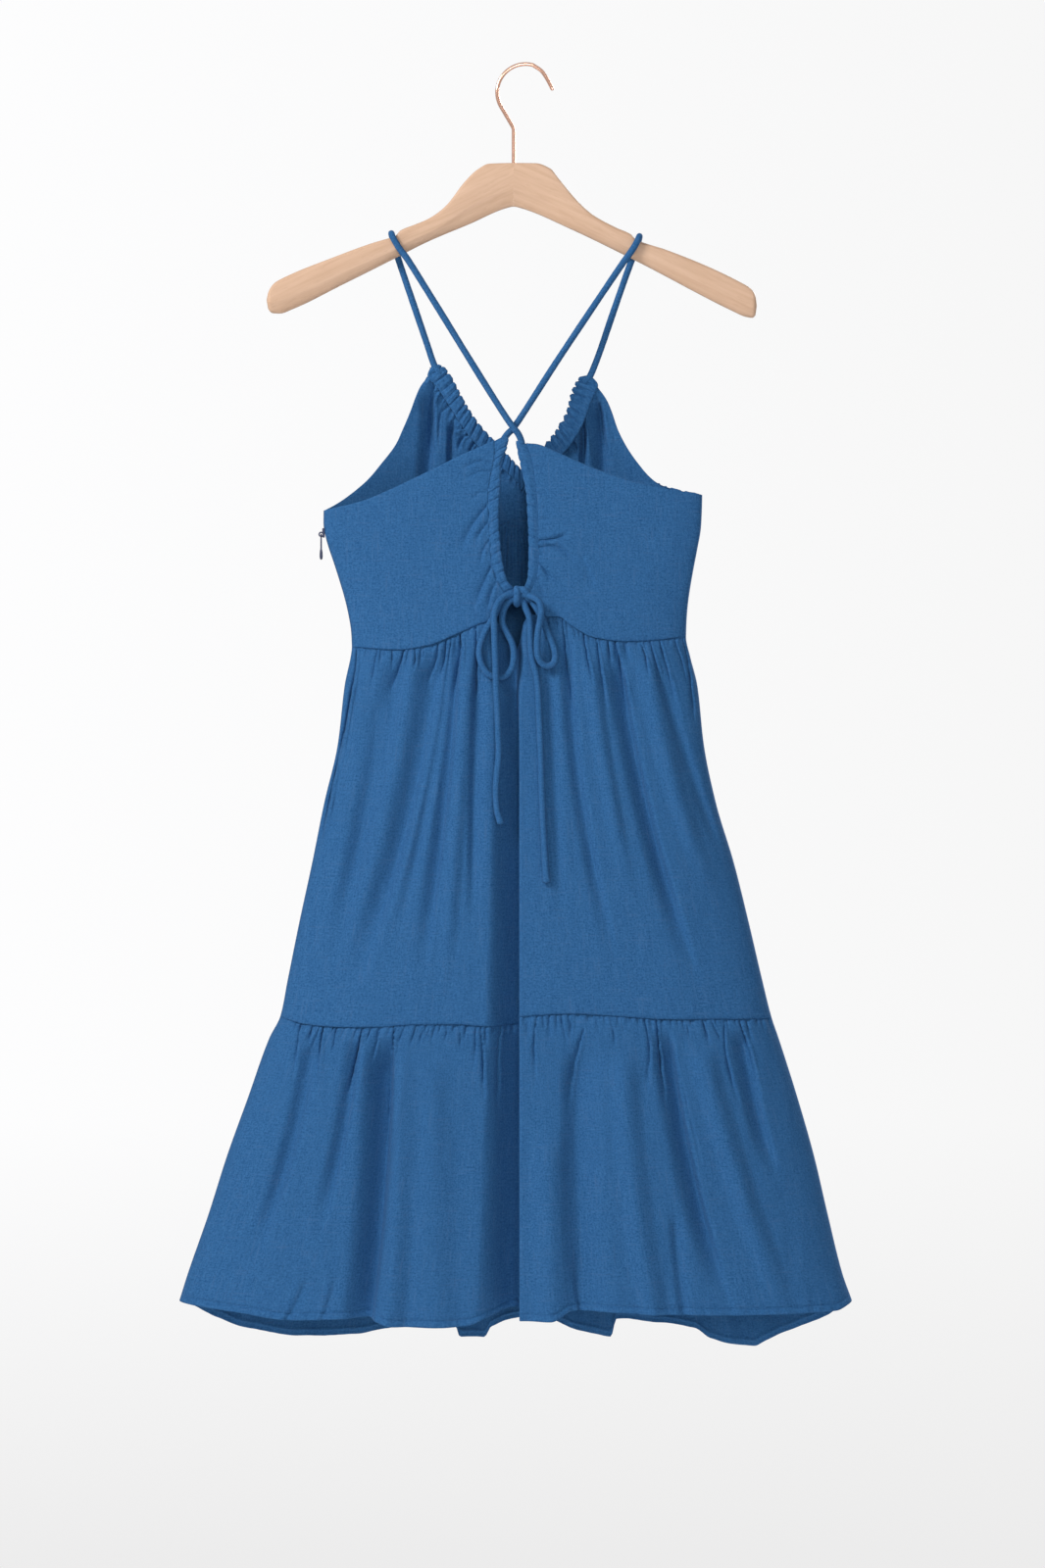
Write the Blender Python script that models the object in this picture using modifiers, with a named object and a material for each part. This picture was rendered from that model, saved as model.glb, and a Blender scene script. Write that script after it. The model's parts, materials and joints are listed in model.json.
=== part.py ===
"""Spaghetti strap dress, seen from its back, hung on a wooden hanger.

The cloth is a set of thin walls. Each panel is a grid of points on the garment's outer face,
with the same grid moved in by the cloth's thickness. A panel's edges come from the tables below,
and its folds and gathers push the points in or out.

Tables are in millimetres. x is measured from the hanger's centre line, and drop is measured down
from the hook's bearing point, which is the origin. The back of the dress faces -Y.
"""
import math
from collections import namedtuple

import bmesh
import bpy
from mathutils import Matrix, Vector

MM = 0.001

# Driving sizes
STEM_SIDE = 10.8
HOOK_INSIDE = 24.0
HOOK_WIRE = 3.5
HANGER_THICK = 12.0
HANGER_ROUND = 2.4
CLOTH = 1.4
SEAM_GAP = 0.3
SEAM_LIFT = 0.7
CORD = 6.0
CHANNEL_THICK = 5.4
CHANNEL_INSET = 0.9
MIDDLE = 6.0
ROUNDING = 2.6
ON_SEAM = 1.2

# Outline of the hanging dress: drop, x
OUTLINE_LEFT = [
    (260.0, -171.4), (403.0, -171.4), (419.8, -171.2), (442.0, -164.7), (468.7, -156.3),
    (495.3, -149.2), (523.7, -145.6), (562.0, -152.3), (615.0, -158.5), (668.5, -170.9),
    (721.8, -181.6), (775.0, -193.1), (828.0, -203.8), (861.2, -210.5), (881.6, -220.7),
    (934.9, -239.8), (988.0, -258.9), (1041.0, -275.7), (1094.7, -294.4), (1118.7, -301.9),
    (1180.0, -321.0),
]
OUTLINE_RIGHT = [
    (260.0, 170.1), (388.8, 170.1), (419.8, 168.7), (442.0, 164.7), (468.7, 159.8),
    (495.3, 156.3), (517.5, 155.3), (535.3, 159.0), (562.0, 165.6), (615.0, 171.4),
    (668.5, 182.5), (721.8, 198.5), (775.0, 211.8), (828.0, 224.2), (862.1, 232.7),
    (881.6, 239.3), (934.9, 256.2), (988.0, 271.3), (1041.0, 283.7), (1094.7, 297.0),
    (1118.7, 305.5), (1180.0, 325.0),
]

# Half depth of the hanging dress: drop, distance from the plane of the side seams
DEPTH_BACK = [
    (330.0, 13.0), (400.0, 15.0), (460.0, 18.0), (520.0, 22.0), (600.0, 30.0), (700.0, 38.0),
    (865.0, 47.0), (1000.0, 53.0), (1170.0, 58.0),
]
DEPTH_FRONT = [
    (260.0, 9.5), (300.0, 13.0), (340.0, 17.0), (400.0, 21.0), (460.0, 24.0), (520.0, 24.0),
    (600.0, 31.0), (700.0, 39.0), (870.0, 49.0), (1000.0, 55.0), (1180.0, 60.0),
]

# Seams and hems across the dress: x, drop
WAIST_BACK = [
    (-145.8, 527.6), (-103.9, 530.4), (-76.6, 526.3), (-49.4, 515.4), (-30.4, 507.2),
    (-20.9, 504.6), (-12.0, 511.0), (-3.0, 525.0), (4.0, 531.0), (11.0, 527.0), (19.0, 511.0),
    (26.6, 500.5), (40.3, 500.8), (53.9, 510.0), (72.8, 519.5), (100.0, 522.8), (127.0, 521.7),
    (155.3, 517.5),
]
WAIST_FRONT = [
    (-145.8, 527.6), (-110.0, 501.5), (-65.7, 459.8), (-30.2, 427.8), (7.0, 412.7),
    (45.0, 427.8), (80.8, 458.0), (120.8, 498.0), (155.3, 517.5),
]
TIER_BACK = [
    (-210.5, 861.2), (-187.5, 866.5), (-155.0, 868.5), (-121.0, 868.0), (-87.0, 865.6),
    (-53.0, 865.2), (-20.0, 867.0), (1.0, 866.5), (6.0, 858.6), (53.0, 855.8), (91.0, 857.9),
    (136.0, 861.0), (181.0, 861.5), (232.7, 862.1),
]
TIER_FRONT = [
    (-210.5, 861.2), (-150.0, 876.0), (-60.0, 882.0), (10.0, 884.0), (80.0, 882.0),
    (160.0, 877.0), (232.7, 862.1),
]
HEM_BACK = [
    (-301.9, 1118.7), (-247.0, 1123.8), (-200.0, 1129.2), (-133.0, 1127.3), (-108.0, 1133.3),
    (-64.5, 1133.8), (-42.0, 1132.5), (-20.0, 1124.7), (-1.0, 1120.0), (6.0, 1128.2),
    (33.0, 1128.2), (52.5, 1119.5), (80.0, 1120.5), (134.0, 1123.2), (219.0, 1125.0),
    (289.0, 1124.5), (305.5, 1118.7),
]
HEM_FRONT = [
    (-301.9, 1118.7), (-272.0, 1138.7), (-238.5, 1151.5), (-190.5, 1159.8), (-158.0, 1158.6),
    (-119.0, 1153.6), (-85.0, 1149.0), (-43.5, 1162.0), (-21.0, 1150.0), (14.0, 1143.0),
    (54.0, 1150.4), (86.0, 1159.2), (105.0, 1148.0), (139.0, 1148.4), (179.0, 1160.0),
    (222.0, 1168.0), (245.5, 1153.0), (287.0, 1139.4), (305.5, 1118.7),
]

# Free edges of the bodice: x, drop
BACK_TOP_LEFT = [(-171.4, 403.0), (-131.0, 393.2), (-76.6, 368.6), (-49.4, 355.0), (-17.5, 340.8)]
BACK_TOP_RIGHT = [(12.0, 343.5), (26.6, 345.9), (59.3, 360.5), (91.9, 372.8), (127.3, 382.2),
                  (170.1, 388.8)]
ARMHOLE_LEFT = [(-75.5, 280.5), (-84.7, 296.6), (-97.0, 329.3), (-111.9, 356.4),
                (-136.4, 380.8), (-171.4, 403.0)]
ARMHOLE_RIGHT = [(75.5, 289.5), (89.2, 321.1), (100.1, 350.9), (113.7, 372.8), (132.7, 382.2),
                 (170.1, 388.8)]

# Keyhole channels: the stitched edge lies on the panel, the open edge on the keyhole
BACK_STITCH_LEFT = [(-17.5, 340.8), (-17.5, 356.4), (-21.3, 375.4), (-23.1, 394.4),
                    (-21.5, 426.1), (-19.9, 450.0), (-16.0, 465.8), (-7.5, 480.0)]
BACK_OPEN_LEFT = [(-5.3, 339.0), (-6.4, 348.5), (-11.2, 359.5), (-12.0, 378.6), (-13.5, 410.3),
                  (-12.0, 434.1), (-9.6, 453.1), (-5.6, 467.4), (1.2, 475.6)]
BACK_STITCH_RIGHT = [(12.0, 343.5), (17.4, 362.7), (21.3, 394.4), (22.5, 426.1), (22.5, 450.0),
                     (20.4, 465.8), (14.6, 480.0)]
BACK_OPEN_RIGHT = [(2.3, 340.5), (3.1, 348.0), (6.2, 362.7), (11.0, 386.5), (12.6, 410.3),
                   (13.4, 426.1), (13.4, 450.0), (12.0, 467.4), (7.8, 475.6)]

# Neckline channels of the two front cups
NECK_STITCH_LEFT = [(-74.0, 277.2), (-67.5, 290.0), (-57.3, 307.5), (-44.5, 327.3),
                    (-32.5, 342.0), (-13.5, 359.5), (6.6, 378.0)]
NECK_OPEN_LEFT = [(-66.5, 274.5), (-57.7, 284.0), (-48.0, 302.0), (-35.8, 321.1),
                  (-18.2, 340.1), (-6.2, 351.5), (6.6, 364.6)]
NECK_STITCH_RIGHT = [(73.5, 285.9), (67.0, 300.0), (59.5, 321.0), (49.5, 338.5), (37.0, 352.5),
                     (20.0, 367.5), (7.4, 378.0)]
NECK_OPEN_RIGHT = [(65.5, 283.2), (56.5, 291.5), (49.7, 315.6), (40.3, 331.9), (29.3, 345.5),
                   (7.4, 364.6)]

# Folds: x at the top, middle and low end, drop of both ends, depth (- for a ridge), reach to
# the left and to the right
Fold = namedtuple("Fold", "x_top x_mid x_low drop_top drop_low depth left right")
SKIRT_BACK_FOLDS = [
    Fold(-95.0, -110.0, -128.0, 545.0, 640.0, 3.0, 11.0, 11.0),
    Fold(-64.0, -112.0, -172.0, 530.0, 845.0, 8.0, 18.0, 15.0),
    Fold(-50.6, -82.6, -114.6, 530.0, 850.0, 6.0, 13.0, 13.0),
    Fold(-41.0, -59.5, -74.0, 530.0, 860.0, -4.0, 13.0, 13.0),
    Fold(67.5, 86.0, 107.0, 530.0, 720.0, -4.0, 13.0, 13.0),
    Fold(45.0, 70.0, 112.0, 530.0, 820.0, 6.0, 13.0, 15.0),
    Fold(96.0, 126.0, 174.0, 530.0, 830.0, 9.0, 11.0, 17.0),
    Fold(119.0, 147.0, 182.0, 535.0, 740.0, -5.0, 15.0, 15.0),
]
SKIRT_FRONT_FOLDS = [
    Fold(-120.0, -132.0, -150.0, 540.0, 800.0, 5.0, 13.0, 13.0),
    Fold(-88.0, -104.0, -128.0, 505.0, 850.0, 8.0, 15.0, 15.0),
    Fold(-52.0, -66.0, -88.0, 470.0, 860.0, -5.0, 15.0, 15.0),
    Fold(-30.0, -38.0, -52.0, 450.0, 865.0, 7.0, 13.0, 13.0),
    Fold(2.0, 3.0, 4.0, 440.0, 870.0, -5.0, 17.0, 17.0),
    Fold(34.0, 44.0, 58.0, 450.0, 860.0, 8.0, 15.0, 13.0),
    Fold(66.0, 82.0, 104.0, 475.0, 850.0, -5.0, 15.0, 15.0),
    Fold(92.0, 112.0, 142.0, 505.0, 845.0, 8.0, 13.0, 15.0),
    Fold(126.0, 146.0, 180.0, 540.0, 800.0, 5.0, 13.0, 13.0),
]
FLOUNCE_BACK_FOLDS = [
    Fold(-176.0, -206.0, -240.0, 880.0, 1080.0, 7.0, 15.0, 15.0),
    Fold(-141.0, -156.0, -168.0, 880.0, 1010.0, 6.0, 12.0, 12.0),
    Fold(-109.0, -128.0, -156.0, 876.0, 1240.0, 17.0, 30.0, 13.0),
    Fold(-98.0, -109.0, -126.0, 876.0, 1240.0, -7.0, 11.0, 22.0),
    Fold(-76.0, -72.0, -68.0, 880.0, 1240.0, -5.0, 26.0, 26.0),
    Fold(30.0, 33.0, 36.0, 950.0, 1260.0, -6.0, 20.0, 18.0),
    Fold(58.0, 65.0, 76.0, 874.0, 1180.0, 8.0, 12.0, 18.0),
    Fold(103.0, 122.0, 150.0, 890.0, 1200.0, -6.0, 17.0, 17.0),
    Fold(126.0, 152.0, 196.0, 874.0, 1090.0, 12.0, 12.0, 17.0),
    Fold(172.0, 208.0, 252.0, 885.0, 1130.0, -7.0, 16.0, 16.0),
    Fold(200.0, 217.0, 238.0, 878.0, 1000.0, 6.0, 10.0, 13.0),
]
FLOUNCE_FRONT_FOLDS = [
    Fold(-205.0, -232.0, -266.0, 886.0, 1210.0, 9.0, 18.0, 18.0),
    Fold(-160.0, -178.0, -202.0, 884.0, 1240.0, -8.0, 20.0, 20.0),
    Fold(-118.0, -131.0, -148.0, 886.0, 1240.0, 10.0, 18.0, 18.0),
    Fold(-66.0, -70.0, -76.0, 884.0, 1240.0, -8.0, 20.0, 20.0),
    Fold(-24.0, -22.0, -20.0, 884.0, 1260.0, 12.0, 16.0, 16.0),
    Fold(26.0, 31.0, 36.0, 884.0, 1260.0, -8.0, 20.0, 20.0),
    Fold(72.0, 84.0, 98.0, 884.0, 1250.0, 10.0, 18.0, 18.0),
    Fold(118.0, 135.0, 156.0, 884.0, 1250.0, -8.0, 20.0, 20.0),
    Fold(160.0, 182.0, 208.0, 884.0, 1240.0, 10.0, 18.0, 18.0),
    Fold(204.0, 228.0, 256.0, 886.0, 1220.0, -7.0, 18.0, 18.0),
]
CUP_FOLDS = [
    Fold(-78.0, -88.0, -92.0, 290.0, 520.0, -6.0, 62.0, 62.0),
    Fold(78.0, 92.0, 98.0, 290.0, 520.0, -6.0, 62.0, 62.0),
    Fold(-80.0, -84.0, -88.0, 292.0, 400.0, 5.0, 11.0, 11.0),
    Fold(-58.0, -59.0, -61.0, 312.0, 410.0, 4.0, 9.0, 9.0),
    Fold(86.0, 92.0, 96.0, 300.0, 410.0, 6.0, 11.0, 11.0),
    Fold(64.0, 68.0, 72.0, 308.0, 410.0, 4.0, 9.0, 9.0),
]
FOLD_RISE = 0.12
FOLD_FALL = 0.62

# Knife fold down the centre back: drop, depth, and drop, width of its left slope
KNIFE_DEPTH = [(525.0, 0.0), (585.0, 17.0), (700.0, 22.0), (865.0, 26.0), (1000.0, 30.0),
               (1170.0, 34.0)]
KNIFE_WIDTH = [(525.0, 24.0), (700.0, 28.0), (865.0, 32.0), (1170.0, 42.0)]
KNIFE_STEEP = 5.0
GAPE_DEPTH = 16.0
GAPE_REACH = 26.0
GAPE_OPENS = (488.0, 518.0)
GAPE_CLOSES = (531.0, 580.0)

# Rows of each panel, as shares of the way down
SKIRT_ROWS = (0.0, 0.03, 0.09, 0.2, 0.38, 0.58, 0.79, 1.0)
FLOUNCE_ROWS = (0.0, 0.045, 0.13, 0.32, 0.6, 0.82, 1.0)
BODICE_ROWS = (0.0, 0.1, 0.2, 0.3, 0.4, 0.5, 0.6, 0.7, 0.8, 0.9, 1.0)
CUP_ROWS = (0.0, 0.04, 0.12, 0.25, 0.38, 0.5, 0.66, 0.83, 1.0)
KNIFE_COLUMNS = (0.22, 0.165, 0.115, 0.07, 0.035, 0.014)
BODICE_COLUMNS = 16
CHANNEL_END = 0.8
SIDE_CROWDING = 0.45

# Gathers: height of a pleat, how far it runs down, and how many stand in each seam
PLEAT_HEIGHT = 2.6
SKIRT_PLEAT_REACH = 90.0
FLOUNCE_PLEAT_REACH = 110.0
CUP_PLEAT_REACH = 60.0
WAIST_PLEATS = (13, 16)
TIER_PLEATS = (15, 18)
CUP_PLEATS = 13
BACK_CHANNEL_PLEATS = 12
NECK_CHANNEL_PLEATS = 14

# Straps: x, y, drop. They hang behind the hanger from the cups, pass over it and cross
STRAP_LEFT = [
    (-70.4, 9.6, 275.4), (-79.0, 9.9, 250.0), (-90.5, 9.9, 216.0), (-102.0, 9.8, 182.0),
    (-106.6, 9.6, 168.0), (-108.9, 9.7, 160.0), (-109.8, 9.2, 156.6), (-110.3, 7.2, 153.6),
    (-110.6, 3.2, 152.4), (-110.6, -3.2, 152.4), (-110.2, -7.2, 153.6), (-109.2, -9.2, 156.6),
    (-107.4, -9.7, 160.0), (-102.4, -9.7, 168.0),
    (-94.0, -9.9, 179.5), (-70.0, -10.8, 218.0), (-40.0, -12.4, 267.0), (-12.0, -14.8, 312.0),
    (-0.9, -15.9, 328.6), (3.8, -15.0, 334.4), (6.4, -13.9, 338.6),
]
STRAP_RIGHT = [
    (69.6, 10.4, 283.9), (78.0, 10.1, 258.5), (91.5, 9.9, 219.0), (102.5, 9.8, 187.5),
    (108.4, 9.6, 171.5), (111.6, 9.7, 163.2), (112.9, 9.3, 159.2), (113.6, 7.2, 156.3),
    (113.9, 3.2, 155.0), (113.9, -3.2, 155.0), (113.4, -7.2, 156.3), (112.2, -9.3, 159.2),
    (110.2, -9.7, 163.2), (105.6, -9.6, 170.5),
    (97.0, -9.6, 182.5), (72.0, -9.6, 219.5), (40.0, -9.5, 267.5), (12.0, -9.3, 311.0),
    (0.3, -9.2, 328.4), (-4.6, -10.0, 333.6), (-7.6, -11.6, 337.0),
]
STRAP_SPACING = 14.0

# Bow: a knot, two loops and two tails, all of the keyhole's drawcord, and the step that seats them
# against the channels' lower ends
BOW_SEAT = (0.0, 2.6, -2.0)
KNOT_CENTRE = (4.6, -25.4, 483.2)
KNOT_SIZE = (12.6, 12.0, 15.6)
LOOP_LEFT = [
    (-0.8, -28.2, 490.8), (-6.0, -29.8, 494.4), (-9.2, -30.6, 500.5), (-9.4, -30.8, 508.7),
    (-5.8, -30.8, 517.5), (-1.8, -31.0, 525.5), (0.2, -31.4, 535.3), (-0.9, -32.0, 546.0),
    (-4.4, -32.6, 552.6), (-10.0, -33.2, 556.8), (-20.8, -33.4, 555.2), (-27.5, -33.0, 547.7),
    (-30.6, -32.4, 538.0), (-30.2, -31.8, 528.0), (-26.6, -31.0, 518.4), (-22.4, -30.2, 510.4),
    (-17.6, -28.8, 502.4), (-13.4, -27.2, 495.0), (-8.5, -25.2, 487.6), (-3.1, -23.8, 484.8),
]
LOOP_RIGHT = [
    (11.4, -29.2, 481.2), (17.0, -32.6, 483.2), (22.7, -35.2, 489.4), (24.9, -36.4, 498.0),
    (23.6, -37.0, 506.5), (21.6, -37.4, 517.6), (21.0, -37.4, 529.0), (21.6, -36.8, 537.6),
    (24.7, -35.0, 543.8), (30.2, -33.4, 546.8), (35.5, -32.6, 544.6), (37.3, -32.0, 538.0),
    (35.6, -31.4, 529.0), (32.0, -30.8, 520.2), (28.8, -30.0, 512.2), (26.0, -29.0, 504.8),
    (21.6, -27.6, 496.4), (17.0, -25.6, 489.6), (12.3, -23.8, 486.0),
]
TAIL_LEFT = [
    (-1.9, -29.2, 479.4), (-8.3, -32.4, 482.8), (-14.2, -35.6, 489.6), (-17.4, -37.2, 500.0),
    (-17.4, -37.8, 512.0), (-16.9, -38.8, 526.0), (-16.2, -40.0, 545.0), (-15.8, -40.4, 560.0),
    (-14.8, -39.8, 581.5), (-13.8, -39.4, 605.0), (-13.3, -40.0, 626.8), (-15.0, -41.4, 645.0),
    (-15.8, -42.4, 662.0), (-14.6, -43.4, 677.0), (-10.7, -44.2, 688.9),
]
TAIL_RIGHT = [
    (7.8, -26.8, 490.3), (11.6, -28.6, 496.4), (14.2, -29.6, 504.0), (15.0, -30.2, 515.0),
    (15.4, -31.2, 531.0), (17.0, -32.0, 543.0), (20.0, -33.0, 554.0), (21.8, -34.2, 568.0),
    (22.8, -36.2, 590.0), (24.3, -39.0, 626.8), (25.2, -41.6, 659.7), (26.6, -44.2, 690.7),
    (27.8, -45.8, 716.0), (29.3, -47.2, 741.3),
]
BOW_SPACING = 9.0
TAIL_SPACING = 16.0

# Hanger: x, drop round the outline, from the middle of the top edge to the image's right
HANGER_OUTLINE = [
    (0.0, 88.4), (20.0, 88.6), (33.4, 93.6), (41.0, 102.7), (54.8, 119.5), (64.0, 129.0),
    (73.2, 136.4), (93.1, 147.1), (106.5, 153.2), (110.0, 157.3), (118.0, 160.7),
    (122.5, 160.6), (137.4, 166.6), (209.2, 198.5), (215.5, 203.0), (219.3, 209.5),
    (220.2, 217.4), (219.8, 224.5), (216.4, 228.2), (210.0, 227.2), (200.1, 222.9),
    (113.0, 177.7), (50.3, 147.1), (8.0, 129.2), (0.0, 127.4), (-8.0, 129.2), (-39.1, 142.8),
    (-78.1, 159.3), (-111.9, 176.5), (-154.5, 197.8), (-200.7, 220.5), (-212.0, 224.3),
    (-218.4, 224.0), (-222.6, 220.0), (-223.8, 212.8), (-222.0, 205.0), (-217.0, 197.6),
    (-209.7, 193.0), (-163.4, 173.9), (-119.4, 156.2), (-114.5, 158.1), (-106.5, 155.0),
    (-102.8, 149.7), (-90.0, 144.4), (-78.1, 139.4), (-68.0, 133.0), (-59.9, 125.7),
    (-44.6, 105.8), (-33.0, 94.5), (-22.0, 89.0),
]
MITRE_GAP = 0.3

# Hook: angles of its round end, then the straight that leads to the stem
HOOK_TIP_ANGLE = 5.0
HOOK_LAST_ANGLE = 212.0
HOOK_BEND_DROP = 56.5
STEM_DROP = 109.0
STEM_SOCKET = 111.0

# Zip: its slider lies on the left side seam, and its tab hangs from the slider's bridge
TAB_PIVOT_X = -174.4
TAB_PIVOT_DROP = 424.5
TAB_SIZE = (1.2, 4.6, 23.6)
TAB_BAR = 1.2
TAB_WINDOW = (3.0, 3.4)
BRIDGE_INSIDE = 1.2
BRIDGE_OUTSIDE = 2.5
BRIDGE_WIDE = 2.2
SLIDER_SIZE = (2.2, 5.6, 8.3)
SLIDER_BELOW = 2.8
SLIDER_FACE = 1.05

BLUE = (0.034, 0.122, 0.287)
BLUE_DARK = (0.028, 0.105, 0.250)
BEECH = (0.70, 0.49, 0.36)
ROSE_GOLD = (0.86, 0.52, 0.42)


def place(x, y, drop):
    """A point in metres, from millimetres beside, behind and below the bearing point's stem."""
    return Vector(((x - STEM_SIDE) * MM, y * MM, -drop * MM))


def blend(start, end, share):
    """The value at a share of the way from start to end."""
    return start + (end - start) * share


def ease(start, end, value):
    """0 before start, 1 after end, and a smooth rise between them."""
    share = min(1.0, max(0.0, (value - start) / (end - start)))
    return share * share * (3.0 - 2.0 * share)


def bump(offset, left, right):
    """1 in the middle, falling smoothly to 0 at the reach of each side."""
    reach = right if offset > 0.0 else left
    if abs(offset) >= reach:
        return 0.0
    return 0.5 * (1.0 + math.cos(math.pi * offset / reach))


def shared_slope(before, after):
    """A slope between two neighbours that never carries a curve past its rows."""
    if before * after <= 0.0:
        return 0.0
    return 2.0 * before * after / (before + after)


def follow(rows, key):
    """Read a table of two columns as a smooth curve that keeps to its rows."""
    if key <= rows[0][0]:
        return rows[0][1]
    if key >= rows[-1][0]:
        return rows[-1][1]
    slot = next(i for i in range(len(rows) - 1) if key <= rows[i + 1][0])
    slopes = [(b[1] - a[1]) / (b[0] - a[0]) for a, b in zip(rows, rows[1:])]
    here = slopes[slot]
    start = shared_slope(slopes[slot - 1], here) if slot > 0 else here
    end = shared_slope(here, slopes[slot + 1]) if slot + 1 < len(slopes) else here
    span = rows[slot + 1][0] - rows[slot][0]
    t = (key - rows[slot][0]) / span
    low, high = rows[slot][1], rows[slot + 1][1]
    rise = t * t * (3.0 - 2.0 * t)
    return (low + (high - low) * rise + start * span * t * (1.0 - t) ** 2
            - end * span * t * t * (1.0 - t))


class Route:
    """A smooth curve through a few points, read at equal shares of its length."""

    STEPS = 10

    def __init__(self, points):
        knots = [Vector(point) for point in points]
        knots = [2.0 * knots[0] - knots[1]] + knots + [2.0 * knots[-1] - knots[-2]]
        self.dense = [knots[1]]
        for a, b, c, d in zip(knots, knots[1:], knots[2:], knots[3:]):
            for step in range(1, self.STEPS + 1):
                t = step / self.STEPS
                bend = (2.0 * a - 5.0 * b + 4.0 * c - d) * t * t
                twist = (3.0 * b - a - 3.0 * c + d) * t * t * t
                self.dense.append(0.5 * (2.0 * b + (c - a) * t + bend + twist))
        self.reached = [0.0]
        for a, b in zip(self.dense, self.dense[1:]):
            self.reached.append(self.reached[-1] + (b - a).length)
        self.length = self.reached[-1]

    def marks(self, spacing):
        """Shares of the length at the route's own points, and between them where they lie far apart."""
        shares = [0.0]
        knots = self.reached[::self.STEPS]
        for start, end in zip(knots, knots[1:]):
            pieces = math.ceil((end - start) / spacing)
            shares += [blend(start, end, piece / pieces) / self.length
                       for piece in range(1, pieces + 1)]
        return shares

    def at(self, share):
        """The point at a share of the whole length."""
        goal = min(1.0, max(0.0, share)) * self.length
        for index in range(1, len(self.reached)):
            if goal <= self.reached[index]:
                span = self.reached[index] - self.reached[index - 1]
                part = (goal - self.reached[index - 1]) / span
                return self.dense[index - 1].lerp(self.dense[index], part)
        return self.dense[-1]


class Corner:
    """Two routes that meet at a corner, read as one edge that turns at a given share."""

    def __init__(self, first, second, turn=0.5):
        self.first = first
        self.second = second
        self.turn = turn

    def at(self, share):
        """The point at a share of the edge."""
        if share <= self.turn:
            return self.first.at(share / self.turn)
        return self.second.at((share - self.turn) / (1.0 - self.turn))


def body_depth(x, drop, facing):
    """How far the smooth garment stands out from the plane of its side seams."""
    side = follow(OUTLINE_LEFT if x < MIDDLE else OUTLINE_RIGHT, drop)
    across = min(1.0, abs((x - MIDDLE) / (side - MIDDLE)))
    depth = follow(DEPTH_BACK if facing < 0 else DEPTH_FRONT, drop)
    return depth * math.sqrt(1.0 - across ** ROUNDING)


def fold_push(folds, x, drop):
    """How far the folds push a point in, negative where a ridge lifts it."""
    total = 0.0
    for fold in folds:
        t = (drop - fold.drop_top) / (fold.drop_low - fold.drop_top)
        if 0.0 < t < 1.0:
            centre = ((1.0 - t) * (1.0 - 2.0 * t) * fold.x_top + 4.0 * t * (1.0 - t) * fold.x_mid
                      + t * (2.0 * t - 1.0) * fold.x_low)
            strength = ease(0.0, FOLD_RISE, t) * (1.0 - ease(FOLD_FALL, 1.0, t))
            total += fold.depth * strength * bump(x - centre, fold.left, fold.right)
    return total


def knife_push(x, drop):
    """The centre back's knife fold: steep under its right ridge, with a soft left slope."""
    offset = x - MIDDLE
    gape = GAPE_DEPTH * bump(offset + 2.0, GAPE_REACH, GAPE_REACH)
    push = gape * ease(*GAPE_OPENS, drop) * (1.0 - ease(*GAPE_CLOSES, drop))
    if offset < 0.0:
        slope = 1.0 - ease(KNIFE_STEEP, follow(KNIFE_WIDTH, drop), -offset)
        push += follow(KNIFE_DEPTH, drop) * ease(0.0, KNIFE_STEEP, -offset) * slope
    return push


def outer_y(x, drop, facing, folds=(), pleat=0.0):
    """The y of a panel's outer face, with its folds and its share of a pleat."""
    depth = body_depth(x, drop, facing)
    if depth < ON_SEAM:
        return facing * 0.5 * SEAM_GAP
    push = fold_push(folds, x, drop)
    if facing < 0:
        push += knife_push(x, drop)
    sway = min(1.0, depth / 12.0)
    return facing * (0.5 * SEAM_GAP + max(0.0, depth - (push - pleat) * sway))


def pleat_share(below, reach):
    """Share of a pleat's height at a distance below its seam."""
    return (0.18 + 0.82 * ease(0.0, 12.0, below)) * (1.0 - ease(0.2 * reach, reach, below))


def uneven(index):
    """A pleat's own size, so that no two neighbours are alike."""
    return 0.72 + 0.28 * math.sin(2.4 * index + 0.7)


def pleated_run(start, end, pleats):
    """Columns from start to end, each with a pleat's sign and height, without the first."""
    cells = 2 * pleats
    columns = []
    for index in range(1, cells + 1):
        drift = 0.22 * math.sin(1.9 * index) if index < cells else 0.0
        sign = 1.0 if index % 2 else -1.0
        height = sign * uneven(index) if index < cells else 0.0
        columns.append((blend(start, end, (index + drift) / cells), height))
    return columns


def wide_columns(pleats, knife):
    """Columns of a skirt panel: -1 is the left side seam, 0 the centre, 1 the right one."""
    left, right = pleats
    inner = KNIFE_COLUMNS if knife else ()
    start = -inner[0] if knife else 0.0
    columns = [(-1.0, 0.0)] + pleated_run(-1.0, start, left)
    columns += [(-share, 0.0) for share in inner[1:]]
    if knife:
        columns.append((0.0, 0.0))
    return columns + pleated_run(0.0, 1.0, right)


def crowd(share):
    """Move a column nearer to its side seam, where the cloth turns round."""
    size = (1.0 - SIDE_CROWDING) * abs(share) + SIDE_CROWDING * math.sin(0.5 * math.pi * abs(share))
    return math.copysign(size, share)


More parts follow.
